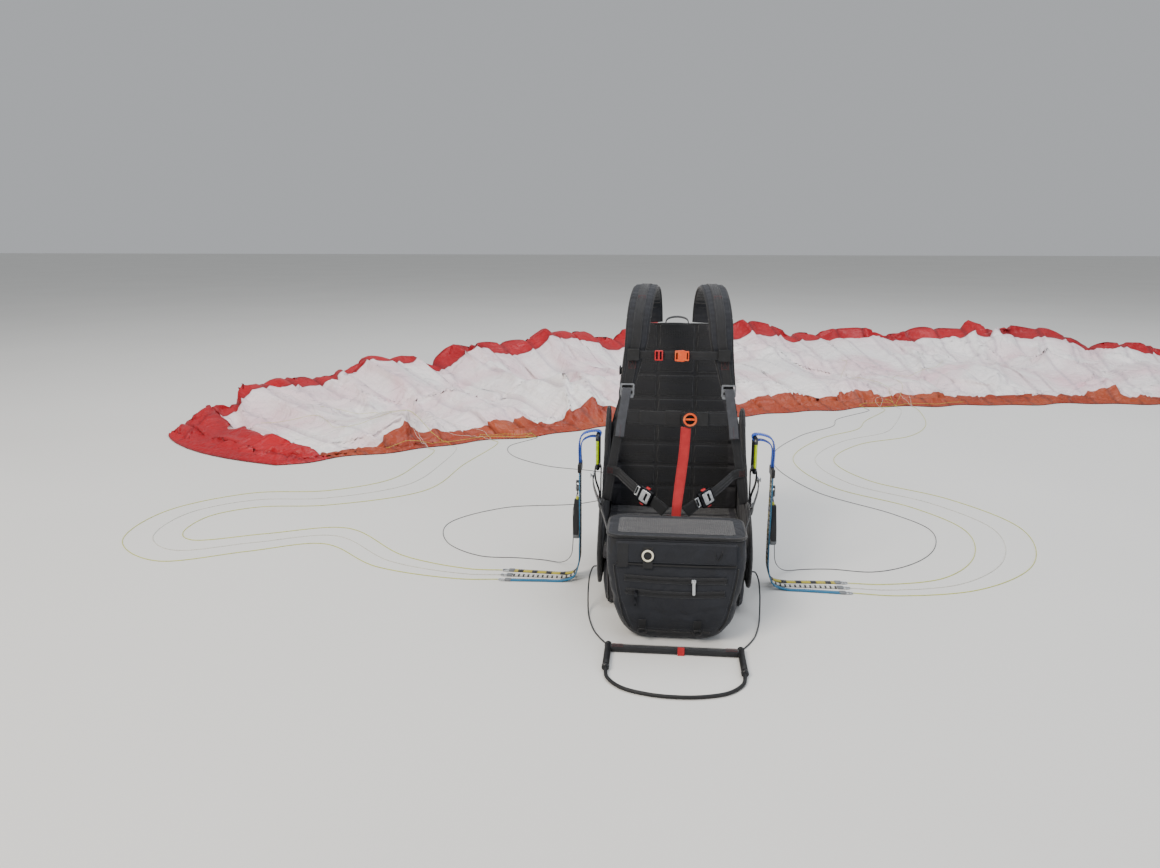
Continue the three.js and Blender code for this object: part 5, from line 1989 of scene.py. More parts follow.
@dataclass
class ShoulderStraps:
    """Padded shoulder straps that narrow to webbing, with ladder adjusters."""

    stitching: Stitching
    stops: tuple = (
        (0.076, 0.193, 0.7186, 0.062, 0.014), (0.078, 0.19, 0.765, 0.062, 0.014), (0.083, 0.135, 0.815, 0.062, 0.014),
        (0.092, 0.06, 0.828, 0.062, 0.014), (0.101, -0.008, 0.8, 0.062, 0.014), (0.108, -0.058, 0.75, 0.06, 0.014),
        (0.112, -0.078, 0.7, 0.056, 0.013), (0.122, -0.0795, 0.64, 0.044, 0.011), (0.133, -0.081, 0.58, 0.034, 0.008),
    )
    web: tuple = (
        (0.122, -0.0795, 0.64, 0.027, 0.004), (0.133, -0.081, 0.58, 0.027, 0.004), (0.156, -0.084, 0.45, 0.026, 0.004),
        (0.176, -0.0865, 0.33, 0.026, 0.004), (0.188, -0.088, 0.2545, 0.026, 0.004),
    )
    tail: tuple = (
        (0.1345, -0.0915, 0.572, 0.024, 0.0018), (0.138, -0.094, 0.55, 0.024, 0.0018),
        (0.144, -0.0955, 0.51, 0.024, 0.0018), (0.15, -0.0975, 0.47, 0.024, 0.0018),
        (0.153, -0.1, 0.44, 0.024, 0.0018),
    )

    def build(self) -> None:
        """Makes both straps."""
        for sign, name in SIDES.items():
            self.one(sign, name)
            self.webbing(sign, name)

    def one(self, sign: int, name: str) -> None:
        """Makes the padded part of one side, its bound edges and the band that is sewn along it.

        Args:
            sign: the side.
            name: its name.
        """
        stops = mirrored(self.stops, sign)
        pad = strap(f"shoulder_pad_{name}", stops, ACROSS, Finish.MESH, 140, 0.45, lambda s: 1 + 0.07 * np.cos(s * 190))
        toned(pad, Finish.NAVY, lambda c, n: (n[:, 1] < 0.2) & (n[:, 2] > -0.6))
        settle(pad, stands_for=[f"shoulder_strap_{name}"])
        for edge in (-1, 1):
            line = strap_line(stops, ACROSS, edge * 0.97, 0.0, 120)
            where = "outer" if edge * sign > 0 else "inner"
            settle(tube(f"shoulder_binding_{name}_{where}", line, 3.2 * MM, Finish.PIPING, 8))
            self.stitching.along(strap_line(stops, ACROSS, edge * 0.84, 0.97, 160))
        over = [(*p, 0.026, 0.0022) for p in strap_line(stops, ACROSS, 0, 1.12, 30)[3:]]
        settle(strap(f"shoulder_band_{name}", over, ACROSS, Finish.BLACK_WEBBING, 100))
        self.stitching.edges(over, ACROSS, 0.8, (1.3,), 120)

    def webbing(self, sign: int, name: str) -> None:
        """Makes the webbing below the pad, its ladder adjuster and the loose grey tail.

        Args:
            sign: the side.
            name: its name.
        """
        web, tail = mirrored(self.web, sign), mirrored(self.tail, sign)
        settle(strap(f"shoulder_web_{name}", web, ACROSS, Finish.BLACK_WEBBING))
        self.stitching.edges(web, ACROSS, 0.75, (1.15,), 90)
        windows = [(-0.0145, 0.0145, z - 0.004, z + 0.004, 0.001) for z in (0.0085, -0.0075)]
        box = (-0.019, 0.019, -0.017, 0.017, 0.004)
        frame = plate("frame", box, -0.003, 0.003, Finish.GREY_PLASTIC, 0.001, *windows)
        lip = plate("lip", (-0.017, 0.017, -0.022, -0.015, 0.003), -0.0065, 0.001, Finish.GREY_PLASTIC, 0.0012)
        item = joined(f"shoulder_adjuster_{name}", frame, lip)
        moved_to(item, (sign * 0.1345, -0.0865, 0.567), (1, -0.03 * sign, 0), (-0.17 * sign, 0.02, 1))
        settle(item)
        settle(strap(f"shoulder_tail_{name}", tail, ACROSS, Finish.GREY_WEBBING, 40))
        self.stitching.along(strap_line(tail[-2:], ACROSS, 0.0, 1.3, 12), Finish.RED_THREAD)
        # box stitches in front of two rows of the strap, each with its height
        for row, tall in ((7, 0.03), (4, 0.022)):
            centre = np.array([sign * self.stops[row][0], *self.stops[row][1:3]]) + (0, -0.009, 0)
            self.stitching.tack(centre, ACROSS, (0, -0.1, 1), 0.018, tall)


@dataclass(frozen=True)
class CrossStrap:
    """A strap across the chest between the shoulder straps, bowed forwards."""

    name: str
    height: float
    reach: float
    ends: float
    bulge: float
    wide: float
    thick: float

    def y_at(self, x: float) -> float:
        """Middle of the strap at a place across."""
        return self.ends - self.bulge * (1 - (x / self.reach) ** 2)

    def front(self, x: float, out: float, sign: int = 1) -> Point:
        """A place on the front of the strap, moved out by a distance."""
        return (sign * x, self.y_at(x) - self.thick / 2 - out, self.height)

    def stops(self, low: float = -1.0, high: float = 1.0, out: float = 0.0, wide: float = 0, thick: float = 0) -> list:
        """Rows between two shares of the reach, moved out; a width or thickness of 0 is the strap's own."""
        size = (wide or self.wide, thick or self.thick)
        return [(x, self.y_at(x) - out, self.height, *size) for x in np.linspace(low, high, 9) * self.reach]

    def build(self, stitching: Stitching) -> None:
        """Makes the strap with the edge stitches and its sewn ends.

        Args:
            stitching: the list that the stitches go to.
        """
        band = strap(f"{self.name}_webbing", self.stops(), UP, Finish.BLACK_WEBBING, 80)
        settle(band, stands_for=[self.name])
        stitching.edges(self.stops(), UP, 0.78, (1.2,), 90)
        for sign in SIDES:
            end = self.front(self.reach - 0.012, 0.0004, sign)
            stitching.tack(end, (1, 0.2 * -sign, 0), UP, 0.014, self.wide * 0.7)


@dataclass
class ChestStraps:
    """Waist-high chest strap with a round buckle, and sternum strap with a side-release buckle."""

    stitching: Stitching
    chest: CrossStrap = CrossStrap(
        "chest_strap", height=0.495, reach=0.159, ends=-0.0876, bulge=0.024, wide=0.038, thick=0.003
    )
    sternum: CrossStrap = CrossStrap(
        "sternum_strap", height=0.662, reach=0.13, ends=-0.0868, bulge=0.012, wide=0.022, thick=0.0024
    )
    body_profile: tuple = ((0.0135, 0.0), (0.0222, 0.0), (0.0222, 0.006), (0.02, 0.0085), (0.0135, 0.0085))
    ring_profile: tuple = (
        (0.0132, -0.0014), (0.0178, -0.0014), (0.0182, 0.0), (0.0178, 0.0012), (0.0132, 0.0012),
    )

    def round_buckle(self) -> None:
        """Makes the black round buckle with its orange ring and middle bar, its keeper, fold and lug."""
        c, orange = self.chest, Finish.ORANGE_PLASTIC
        centre = c.front(0.034, 0.0093)
        body = turned("body", self.body_profile, centre, FORTH, Finish.BLACK_PLASTIC, 48)
        ring = turned("ring", self.ring_profile, centre, FORTH, orange, 48)
        bar = plate("bar", (-0.0155, 0.0155, -0.0028, 0.0028, 0.001), 0.001, 0.0065, orange, 0.001)
        item = joined("round_buckle", body, ring, moved_to(bar, centre, ACROSS, UP))
        settle(item, stands_for=["chest_buckle"])
        keeper = c.stops(-0.2, 0.06, 0.0012, 0.043, 0.0068)
        settle(strap("elastic_keeper", keeper, UP, Finish.PIPING, 20, 0.35))
        fold = c.stops(-0.62, 0.12, 0.0028, 0.036, 0.0024)
        settle(strap("chest_strap_fold", fold, UP, Finish.BLACK_WEBBING, 50))
        box = (-0.016, 0.016, -0.0195, 0.0195, 0.004)
        lug = plate("chest_buckle_lug", box, -0.002, 0.0025, Finish.BLACK_PLASTIC, 0.001)
        settle(moved_to(lug, c.front(0.066, 0.0032), (1, 0.12, 0), UP))

    def side_release(self) -> None:
        """Makes the orange side-release buckle, its two prongs in the housing, and the red adjuster."""
        orange, outline = Finish.ORANGE_PLASTIC, [(-0.018, -0.013), (0.004, -0.015), (0.007, -0.0105)]
        outline += [(x, -z) for x, z in reversed(outline)]
        hole = rounded_box(-0.015, -0.011, -0.009, 0.009, 0.001)
        housing = slab("housing", outline, -0.0048, 0.0045, orange, "y", 0.0016, [hole])
        box, window = (0.0068, 0.0185, -0.0125, 0.0125, 0.002), (0.0125, 0.016, -0.009, 0.009, 0.001)
        plug = plate("plug", box, -0.0042, 0.004, orange, 0.0014, window)
        prongs = [
            plate(f"prong_{i}", (-0.003, 0.008, z - 0.0024, z + 0.0024, 0.0015), -0.0035, 0.0035, orange, 0.001)
            for i, z in enumerate((-0.0118, 0.0118))
        ]
        item = joined("sternum_clip", housing, plug, *prongs)
        moved_to(item, self.sternum.front(0.008, 0.0056), ACROSS, UP)
        settle(item, stands_for=["sternum_buckle"])
        windows = [(x - 0.0025, x + 0.0025, -0.0105, 0.0105, 0.001) for x in (-0.005, 0.005)]
        box = (-0.011, 0.011, -0.0135, 0.0135, 0.003)
        adjuster = plate("sternum_adjuster", box, -0.003, 0.003, Finish.RED_PLASTIC, 0.001, *windows)
        settle(moved_to(adjuster, self.sternum.front(-0.052, 0.0034), (1, -0.08, 0), UP))

    def sliders(self) -> None:
        """Makes the black sliders that hold the sternum strap to the shoulder straps."""
        for sign in SIDES:
            box = (-0.016, 0.016, -0.0155, 0.0155, 0.004)
            item = plate("slider", box, -0.0025, 0.0025, Finish.BLACK_PLASTIC, 0.001)
            place, name = self.sternum.front(0.119, 0.0038, sign), f"sternum_slider_{SIDES[sign]}"
            settle(moved_to(item, place, (1, 0.05 * sign, 0), UP, name))

    def build(self) -> None:
        """Makes both straps."""
        self.chest.build(self.stitching)
        self.sternum.build(self.stitching)
        self.round_buckle()
        self.side_release()
        self.sliders()


@dataclass
class LegStraps:
    """Middle strap and leg straps with their automatic buckles, and the red ribbon."""

    stitching: Stitching
    crotch: tuple = (
        (0, -0.12, 0.1742, 0.096, 0.005), (0, -0.165, 0.176, 0.086, 0.005), (0, -0.193, 0.197, 0.074, 0.005),
        (0, -0.2, 0.227, 0.066, 0.005), (0, -0.2, 0.255, 0.062, 0.005),
    )
    leg: tuple = (
        (0.026, -0.199, 0.263, 0.034, 0.003), (0.058, -0.19, 0.288, 0.03, 0.003), (0.098, -0.165, 0.308, 0.027, 0.003),
        (0.138, -0.118, 0.328, 0.026, 0.003), (0.156, -0.0965, 0.338, 0.026, 0.003),
        (0.17, -0.0912, 0.341, 0.026, 0.003), (0.188, -0.0906, 0.343, 0.026, 0.003),
    )
    buckle_at: tuple = (0.078, -0.178, 0.298)
    ribbon: tuple = (
        (0.024, -0.116, 0.474, 0.027, 0.0016), (0.02, -0.136, 0.41, 0.027, 0.0016), (0.01, -0.172, 0.33, 0.027, 0.0016),
        (0.004, -0.203, 0.285, 0.025, 0.0016), (0.002, -0.209, 0.255, 0.024, 0.0016),
    )

    def middle(self) -> None:
        """Makes the wide middle strap with its bound edges."""
        band = strap("crotch_webbing", self.crotch, ACROSS, Finish.BLACK_WEBBING)
        settle(band, stands_for=["crotch_strap"])
        for edge in SIDES:
            line = strap_line(self.crotch, ACROSS, edge, 0)
            settle(tube(f"crotch_binding_{SIDES[edge]}", line, 2.6 * MM, Finish.PIPING, 8))
            for share in (0.86, 0.4):
                self.stitching.along(strap_line(self.crotch, ACROSS, edge * share, 1.15, 80))
        self.stitching.tack((0, -0.2035, 0.25), ACROSS, UP, 0.044, 0.014)

    def one(self, sign: int) -> None:
        """Makes the leg strap of one side with its buckle.

        Args:
            sign: the side.
        """
        stops, side, name = mirrored(self.leg, sign), (-0.35 * sign, -0.1, 1), SIDES[sign]
        band = strap(f"leg_webbing_{name}", stops, side, Finish.BLACK_WEBBING)
        settle(band, stands_for=[f"leg_strap_{name}"])
        self.stitching.edges(stops, side, 0.75, (1.2 * sign,))
        self.stitching.tack((sign * 0.1785, -0.0925, 0.342), (1, 0, 0.1 * sign), UP, 0.012, 0.014)
        line = spline(stops, 60)[:, :3]
        wide, thick = frames_along(line, side)
        at = int(np.argmin(np.linalg.norm(line - mirrored([self.buckle_at], sign)[0], axis=1)))
        right = (line[at + 1] - line[at]) * sign
        right *= 1 if np.cross(wide[at], right) @ (thick[at] * sign) < 0 else -1
        settle(moved_to(self.buckle(name), line[at], right, wide[at]), stands_for=[f"leg_buckle_{name}"])

    def buckle(self, name: str) -> Piece:
        """Makes an automatic buckle about the origin.

        Args:
            name: name of its side.

        Returns:
            The buckle.
        """
        base = plate("base", (-0.021, 0.021, -0.022, 0.022, 0.005), -0.0068, 0.006, Finish.BLACK_STEEL, 0.0015)
        box, window = (-0.012, 0.0165, -0.0165, 0.0165, 0.004), (0.002, 0.0075, -0.011, 0.011, 0.0015)
        face = plate("plate", box, -0.009, -0.0062, Finish.STEEL, 0.0011, window)
        box, window = (-0.033, -0.015, -0.0135, 0.0135, 0.003), (-0.0305, -0.0265, -0.0105, 0.0105, 0.001)
        tongue = plate("tongue", box, -0.0032, 0.0028, Finish.STEEL, 0.001, window)
        boxes = [(-0.006, 0.006, z - 0.0022, z + 0.0022, 0.0015) for z in (-0.0235, 0.0235)]
        buttons = [plate(f"button_{i}", box, -0.005, 0.003, Finish.RED_PLASTIC, 0.001) for i, box in enumerate(boxes)]
        return joined(f"automatic_buckle_{name}", base, face, tongue, *buttons)

    def build(self) -> None:
        """Makes all the leg straps and the ribbon."""
        self.middle()
        for sign in SIDES:
            self.one(sign)
        ribbon = strap("red_ribbon", self.ribbon, ACROSS, Finish.RED_WEBBING)
        settle(ribbon, stands_for=["warning_ribbon"])
        self.stitching.edges(self.ribbon, ACROSS, 0.8, (1.3,), 80, Finish.RED_THREAD)


@dataclass
class Suspension:
    """Ring, hang strap, riser loop and stud of each side."""

    stitching: Stitching
    finishes: ClassVar[dict] = {
        "carabiner": Finish.DARK_METAL, "carabiner_gate": Finish.NEON_METAL,
        "container_stud": Finish.STEEL, "brake_pulley_wheel": Finish.GREY_PLASTIC,
    }

    def build(self) -> None:
        """Gives the part's own nodes their finishes and dresses both sides."""
        for sign in SIDES:
            for node, finish in self.finishes.items():
                for slot in bpy.data.objects[f"{node}_{SIDES[sign]}"].material_slots:
                    slot.link, slot.material = "OBJECT", finish.material
            self.hang_strap(sign)
            self.riser_loop(sign)

    def round_the_bar(self, z: float, degrees: Sequence[float]) -> list[tuple[float, float]]:
        """Places of webbing on its way round one of the ring's bars, at the given angles."""
        return [arc(RING[0], z, WEBBING_TURN, angle, angle)[0] for angle in degrees]

    def hang_strap(self, sign: int) -> None:
        """Makes the main webbing, sewn to the side panel and round the ring's lower bar.

        Args:
            sign: the side.
        """
        bar, outer = RING[2] - RING_HALF_HIGH, RING[0] + WEBBING_TURN
        way = [(0.2069, 0.1), (0.2069, 0.2), (0.2069, 0.3), (RING[0] - WEBBING_TURN, bar)]
        way += [*self.round_the_bar(bar, (130, 90, 50)), (outer, bar), (outer - 0.001, bar - 0.036)]
        way += [(0.2112, bar - 0.072), (0.2105, 0.235)]
        stops = [(sign * a, -0.043, b, 0.022, 0.003) for a, b in way]
        band = strap(f"hang_webbing_{SIDES[sign]}", stops, FORTH, Finish.BLACK_WEBBING, 110, 0.3)
        settle(band, stands_for=[f"hang_strap_{SIDES[sign]}"])
        for z in (0.12, 0.16, 0.2):
            self.stitching.tack((sign * 0.2088, -0.043, z), FORTH, UP, 0.016, 0.022)
        self.stitching.tack((sign * 0.2124, -0.043, 0.25), FORTH, (-0.01 * sign, 0, 1), 0.016, 0.016)

    def riser_loop(self, sign: int) -> None:
        """Makes the blue loop of the risers round the ring's upper bar.

        Args:
            sign: the side.
        """
        bar = RING[2] + RING_HALF_HIGH
        way = [(0.2675, 0.3495), (0.2675, 0.403), (0.263, 0.423), (0.254, 0.433), (0.24, 0.4385)]
        way += [(0.227, bar + WEBBING_TURN), *self.round_the_bar(bar, (90, 135, 180, 225, 270))]
        way += [(0.231, bar - 0.0076), (0.244, 0.422), (0.256, 0.414), (0.2625, 0.4), (0.2625, 0.3495)]
        stops = [(sign * a, -0.041, b, 0.024, 0.0032) for a, b in way]
        band = strap(f"blue_loop_{SIDES[sign]}", stops, FORTH, Finish.BLUE_WEBBING, 130, 0.3)
        settle(band, stands_for=[f"riser_loop_{SIDES[sign]}"])
        self.stitching.edges(stops[:7], FORTH, 0.8, (1.2, -1.2), 60)


@dataclass
class FrontContainer:
    """Front container: an open box of navy pack cloth with its collar, zips, ring and loops."""

    stitching: Stitching
    body: str = "front_container"
    wall: float = 0.005
    lid_z: float = 0.262
    # height, half width, front and rear
    levels: tuple = (
        (0.0006, 0.092, -0.385, -0.275), (0.014, 0.114, -0.403, -0.26), (0.06, 0.141, -0.42, -0.252),
        (0.13, 0.158, -0.423, -0.25), (0.2, 0.168, -0.414, -0.25), (0.262, 0.168, -0.402, -0.252),
    )
    # heights where zips, seams and the collar keep the cloth flat
    calm_at: tuple = (0.034, 0.137, 0.17, 0.205, 0.232)
    # place and width of the webbing from the container's side up to its stud
    strap_way: tuple = (
        (0.1689, -0.335, 0.176, 0.02), (0.1698, -0.316, 0.204, 0.02), (0.171, -0.288, 0.23, 0.02),
        (0.196, -0.2, 0.272, 0.02), (0.222, -0.105, 0.3, 0.02), (0.2277, -0.062, 0.309, 0.018),
        (0.2277, -0.05, 0.311, 0.014),
    )
    eye_profile: tuple = ((0.0047, -0.0016), (0.01, -0.0016), (0.0104, 0.0), (0.01, 0.0016), (0.0047, 0.0016))
    eye_at: Point = (0.2277, -0.043, 0.312)
    # places across and up on the front, the loops with their side
    tab_at: tuple = (-0.128, 0.236)
    ring_at: tuple = (-0.067, 0.232)
    cord_at: tuple = (0.088, 0.255)
    loops_at: tuple = ((RIGHT, -0.077, 0.04), (LEFT, 0.06, 0.04))

    def ring(self, level: Point, inset: float, corner: float, count: int = 132) -> Grid:
        """Points round the container at a level, starting at the middle of the front.

        Args:
            level: its height, half width, front and rear.
            inset: how far inside them it runs.
            corner: radius of its corners.
            count: how many points it has.

        Returns:
            The points.
        """
        z, half, front, rear = level
        points = dense(rounded_box(inset - half, half - inset, front + inset, rear - inset, corner), 0.001)
        start = int(np.argmin(np.abs(points[:, 0]) + (points[:, 1] > (front + rear) / 2)))
        at = np.linspace(0, len(points), count, endpoint=False).astype(int)
        return at_height(np.roll(points, -start, 0)[at], z)

    def shell(self) -> Piece:
        """Makes the soft open box, its walls bellied and creased.

        Returns:
            The box.
        """
        heights = np.concatenate([np.linspace(0.0006, 0.02, 9), np.linspace(0.024, self.lid_z, 62)])
        rows = spline(self.levels, 400)
        levels = np.column_stack([heights, *(np.interp(heights, rows[:, 0], rows[:, k]) for k in (1, 2, 3))])
        outer = np.array([self.ring(level, 0, 0.036) for level in levels])
        inner = np.array([self.ring((max(z, 0.006), *sizes), self.wall, 0.032) for z, *sizes in levels])
        for wall in (outer, inner):
            wall[-1, :, 2] -= 0.0004
        rings = np.concatenate([outer, inner[:6:-1]])
        sides = rings[: len(outer) - 1]
        flat = sides.reshape(-1, 3)
        height = flat[:, 2]
        out = (sides - sides.mean(axis=1, keepdims=True)) * [1, 1, 0]
        out /= np.linalg.norm(out, axis=2)[..., None]
        soft = 0.0022 * waviness(flat, 13, 3.1) - 0.0034 * creasing(flat, 9, 7.7) - 0.002 * creasing(flat, 21, 2.2)
        soft -= 0.0024 * dip_at(height - 0.03 * np.abs(flat[:, 0]) / 0.16, [0.075], 0.007)
        belly = np.sin(np.pi * np.clip(height / self.lid_z, 0, 1)) ** 0.8
        calm = np.prod([1 - dip_at(height, [z], 0.015) for z in self.calm_at], axis=0)
        sides += out * (soft * belly * calm).reshape(sides.shape[:2])[..., None]
        sides[..., 1] = np.minimum(sides[..., 1], -0.2502)
        piece = loft("front_bag", rings, Finish.NAVY)
        toned(
            piece,
            Finish.LINING,
            lambda c, n: (np.abs(c[:, 0]) < 0.158) & (np.abs(c[:, 1] + 0.328) < 0.072) & (c[:, 2] > 0.0055),
        )
        return settle(piece, self.body, ["front_container"])

    def front_line(self, bag: Piece, z: float, half: float, lift: float, count: int = 50, dip: float = 0.0) -> Grid:
        """A line across the front of the bag at a height.

        Args:
            bag: the container.
            z: height of its ends.
            half: half its width.
            lift: how far it lies off the cloth.
            count: how many points it has.
            dip: how much lower its middle is.

        Returns:
            The points.
        """
        x = np.linspace(-half, half, count)
        level = z - dip * (1 - (x / half) ** 2)
        line = evened(on_surface(bag, np.column_stack([x, np.full(count, -0.46), level]), lift))
        line[:, 0], line[:, 2] = x, level
        return line

    def spot(self, bag: Piece, x: float, z: float, lift: float) -> Grid:
        """A place on the front of the bag."""
        return on_surface(bag, np.array([(x, -0.46, z)]), lift)[0]

    def piping(self, name: str, line: Grid, radius: float) -> None:
        """Makes a piped seam along a line."""
        settle(tube(name, spline(line, 80), radius, Finish.PIPING, 8), body=self.body)

    def collar(self, bag: Piece) -> None:
        """Makes the padded collar along the top of the front with its piped lower edge.

        Args:
            bag: the container.
        """
        stops = [(*p, 0.052, 0.006) for p in self.front_line(bag, 0.232, 0.143, 1.8 * MM, 30)]
        settle(strap("front_collar", stops, (0, 0.1, 1), Finish.NAVY, 70, 0.4), self.body)
        self.stitching.edges(stops, (0, 0.1, 1), 0.88, (1.05,), 110, body=self.body)
        self.piping("collar_piping", self.front_line(bag, 0.205, 0.144, 2.2 * MM, 30, 0.003), 2.4 * MM)

    def seams(self, bag: Piece) -> None:
        """Makes the piped seams round the front and the bottom.

        Args:
            bag: the container.
        """
        heights = np.linspace(0.03, 0.2, 26)
        z, *rows = np.transpose(self.levels)
        half, front = (np.interp(heights, z, row) for row in rows[:2])
        for sign in SIDES:
            outer, inner = (
                evened(on_surface(bag, np.column_stack([sign * (half - side), front - ahead, heights]), lift))
                for side, ahead, lift in ((0.012, 0.01, 1.2 * MM), (0.022, 0.02, 0.5 * MM))
            )
            self.piping(f"front_piping_{SIDES[sign]}", outer, 2 * MM)
            self.stitching.along(inner, body=self.body)
        self.piping("front_piping_low", self.front_line(bag, 0.034, 0.086, 1.2 * MM, 40, 0.004), 2 * MM)
        self.stitching.along(self.front_line(bag, 0.042, 0.086, 0.3 * MM, 80, 0.004), body=self.body)

    def zips(self, bag: Piece) -> None:
        """Makes the two zips across the front; the upper one has the silver pull.

        Args:
            bag: the container.
        """
        for name, z, half, dip, lean, metal, share in (
            ("upper", 0.17, 0.122, 0.004, 0.05, Finish.STEEL, 0.7),
            ("lower", 0.137, 0.118, 0.006, 0.02, Finish.BLACK_STEEL, 0.12),
        ):
            line = self.front_line(bag, z, half, 1 * MM, 60, dip)
            Zip(f"front_zip_{name}", line, (0, lean, 1), self.stitching, metal, self.body, 0.018, share).build()

    def tabs(self, bag: Piece) -> None:
        """Makes the hook-and-loop tab, and the cream ring on its own tab.

        Args:
            bag: the container.
        """
        up = (0, 0.12, 1)
        tab = plate("tab", (-0.013, 0.013, -0.031, 0.028, 0.003), -0.0012, 0.0012, Finish.LINING, 0.0006)
        moved_to(tab, self.spot(bag, *self.tab_at, 0.006), ACROSS, up, "front_tab")
        settle(tab, self.body)
        strip = plate("strip", (-0.012, 0.012, -0.03, 0.022, 0.002), -0.0012, 0.0012, Finish.BLACK_WEBBING, 0.0006)
        place = self.spot(bag, *self.ring_at, 0.006)
        settle(moved_to(strip, place, ACROSS, up, "ring_tab"), self.body)
        ring = ring_tube("cream_ring", circle(0.0122, 48), 2.4 * MM, Finish.CREAM_RING, 12)
        settle(moved_to(ring, place + (0, -0.0035, 0.002), ACROSS, (0, 0.15, 1)), self.body)

    def loops(self, bag: Piece) -> None:
        """Makes the cord loop, and the two plastic loops low on the front.

        Args:
            bag: the container.
        """
        start = self.spot(bag, *self.cord_at, 0.006)
        steps = ((0, 0, 0), (0.003, -0.004, -0.012), (0.01, -0.005, -0.026), (0.017, -0.005, -0.013), (0.02, 0, 0.001))
        line = spline([start + step for step in steps], 40)
        settle(tube("front_cord_loop", line, 1.2 * MM, Finish.BLACK_PLASTIC, 8), self.body)
        across, up = np.cos(turns(48)), np.sin(turns(48))
        oval = np.column_stack([0.0098 * np.sign(across) * np.abs(across) ** 0.6, 0 * up, 0.0075 * up])
        for sign, *at in self.loops_at:
            box = (-0.009, 0.009, -0.014, 0.014, 0.002)
            tape = plate("tape", box, -0.001, 0.001, Finish.BLACK_WEBBING, 0.0005)
            place = self.spot(bag, *at, 0.0015)
            moved_to(tape, place, ACROSS, (0, -0.3, 1))
            link = ring_tube("link", oval, 1.9 * MM, Finish.BLACK_PLASTIC, 10)
            moved_to(link, place + (0, -0.0032, -0.0175), ACROSS, (0, -0.35, 1))
            settle(joined(f"front_loop_{SIDES[sign]}", tape, link), self.body)

    def strap_up(self, sign: int) -> None:
        """Makes the webbing from the side of the container up to its stud, with an eye.

        Args:
            sign: the side.
        """
        name, side = SIDES[sign], (0, -0.35, 0.94)
        stops = [(*p, 0.0024) for p in mirrored(self.strap_way, sign)]
        band = strap("band", stops, side, Finish.BLACK_WEBBING, 70)
        eye = turned("eye", self.eye_profile, mirrored([self.eye_at], sign)[0], ACROSS, Finish.STEEL)
        frame = plate("frame", (-0.012, 0.012, -0.0135, 0.0135, 0.003), -0.003, 0.003, Finish.BLACK_PLASTIC, 0.001)
        before, middle, after = spline(stops, 30)[14:17, :3]
        moved_to(frame, middle, after - before, side)
        item = joined(f"container_webbing_{name}", band, eye, frame)
        settle(item, self.body, [f"container_strap_{name}"])
        self.stitching.edges(stops[:-1], side, 0.75, (-1.2, 1.2), 90, body=self.body)

    def build(self) -> None:
        """Makes the whole container."""
        bag = self.shell()
        for dress in (self.collar, self.seams, self.zips, self.tabs, self.loops):
            dress(bag)
        for sign in SIDES:
            self.strap_up(sign)


@dataclass
class ContainerLid:
    """Hinged top panel of the front container: the deck for instruments."""

    stitching: Stitching
    body: str = "container_lid"

    def build(self) -> None:
        """Makes the padded lid with its loop-pile patch and bound edge."""
        outline = rounded_box(-0.168, 0.168, -0.402, -0.252, 0.03)
        pile = rounded_box(-0.142, 0.142, -0.382, -0.272, 0.012)
        lid = slab("lid_panel", outline, 0.2624, 0.2706, Finish.NAVY, "z", 0.0035)
        patch = slab("patch", pile, 0.2701, 0.2714, Finish.MESH, "z", 0.0005)
        settle(joined("lid", lid, patch), self.body, ["container_lid"])
        rim = at_height(drawn_in(dense(outline, 0.006), 0.0015), 0.2666)
        settle(ring_tube("lid_binding", rim, 4.2 * MM, Finish.PIPING, 10), body=self.body)
        self.stitching.along(at_height(drawn_in(dense(outline, 0.004), 0.01), 0.2709), body=self.body)


@dataclass
class SpeedCords:
    """The two cords from the foot bar to the guides in the side panels."""

    diameter: float = 4 * MM
    way: tuple = (
        (0.158, -0.4516, 0.006), (0.163, -0.44, 0.003), (0.18, -0.412, 0.0025), (0.199, -0.372, 0.0025),
        (0.212, -0.325, 0.0025), (0.22, -0.285, 0.0035), (0.225, -0.246, 0.018), (0.226, -0.222, 0.055),
        (0.222, -0.208, 0.088), (0.213, -0.203, 0.105), (0.2054, -0.203, 0.106),
    )

    def build(self) -> None:
        """Makes the cords."""
        for sign, name in SIDES.items():
            points = spline(mirrored(self.way, sign), 160, even=True)
            piece = cord(f"speed_line_{name}", points, self.diameter, Finish.DARK_LINE)
            settle(piece, stands_for=[f"speed_cord_{name}"])


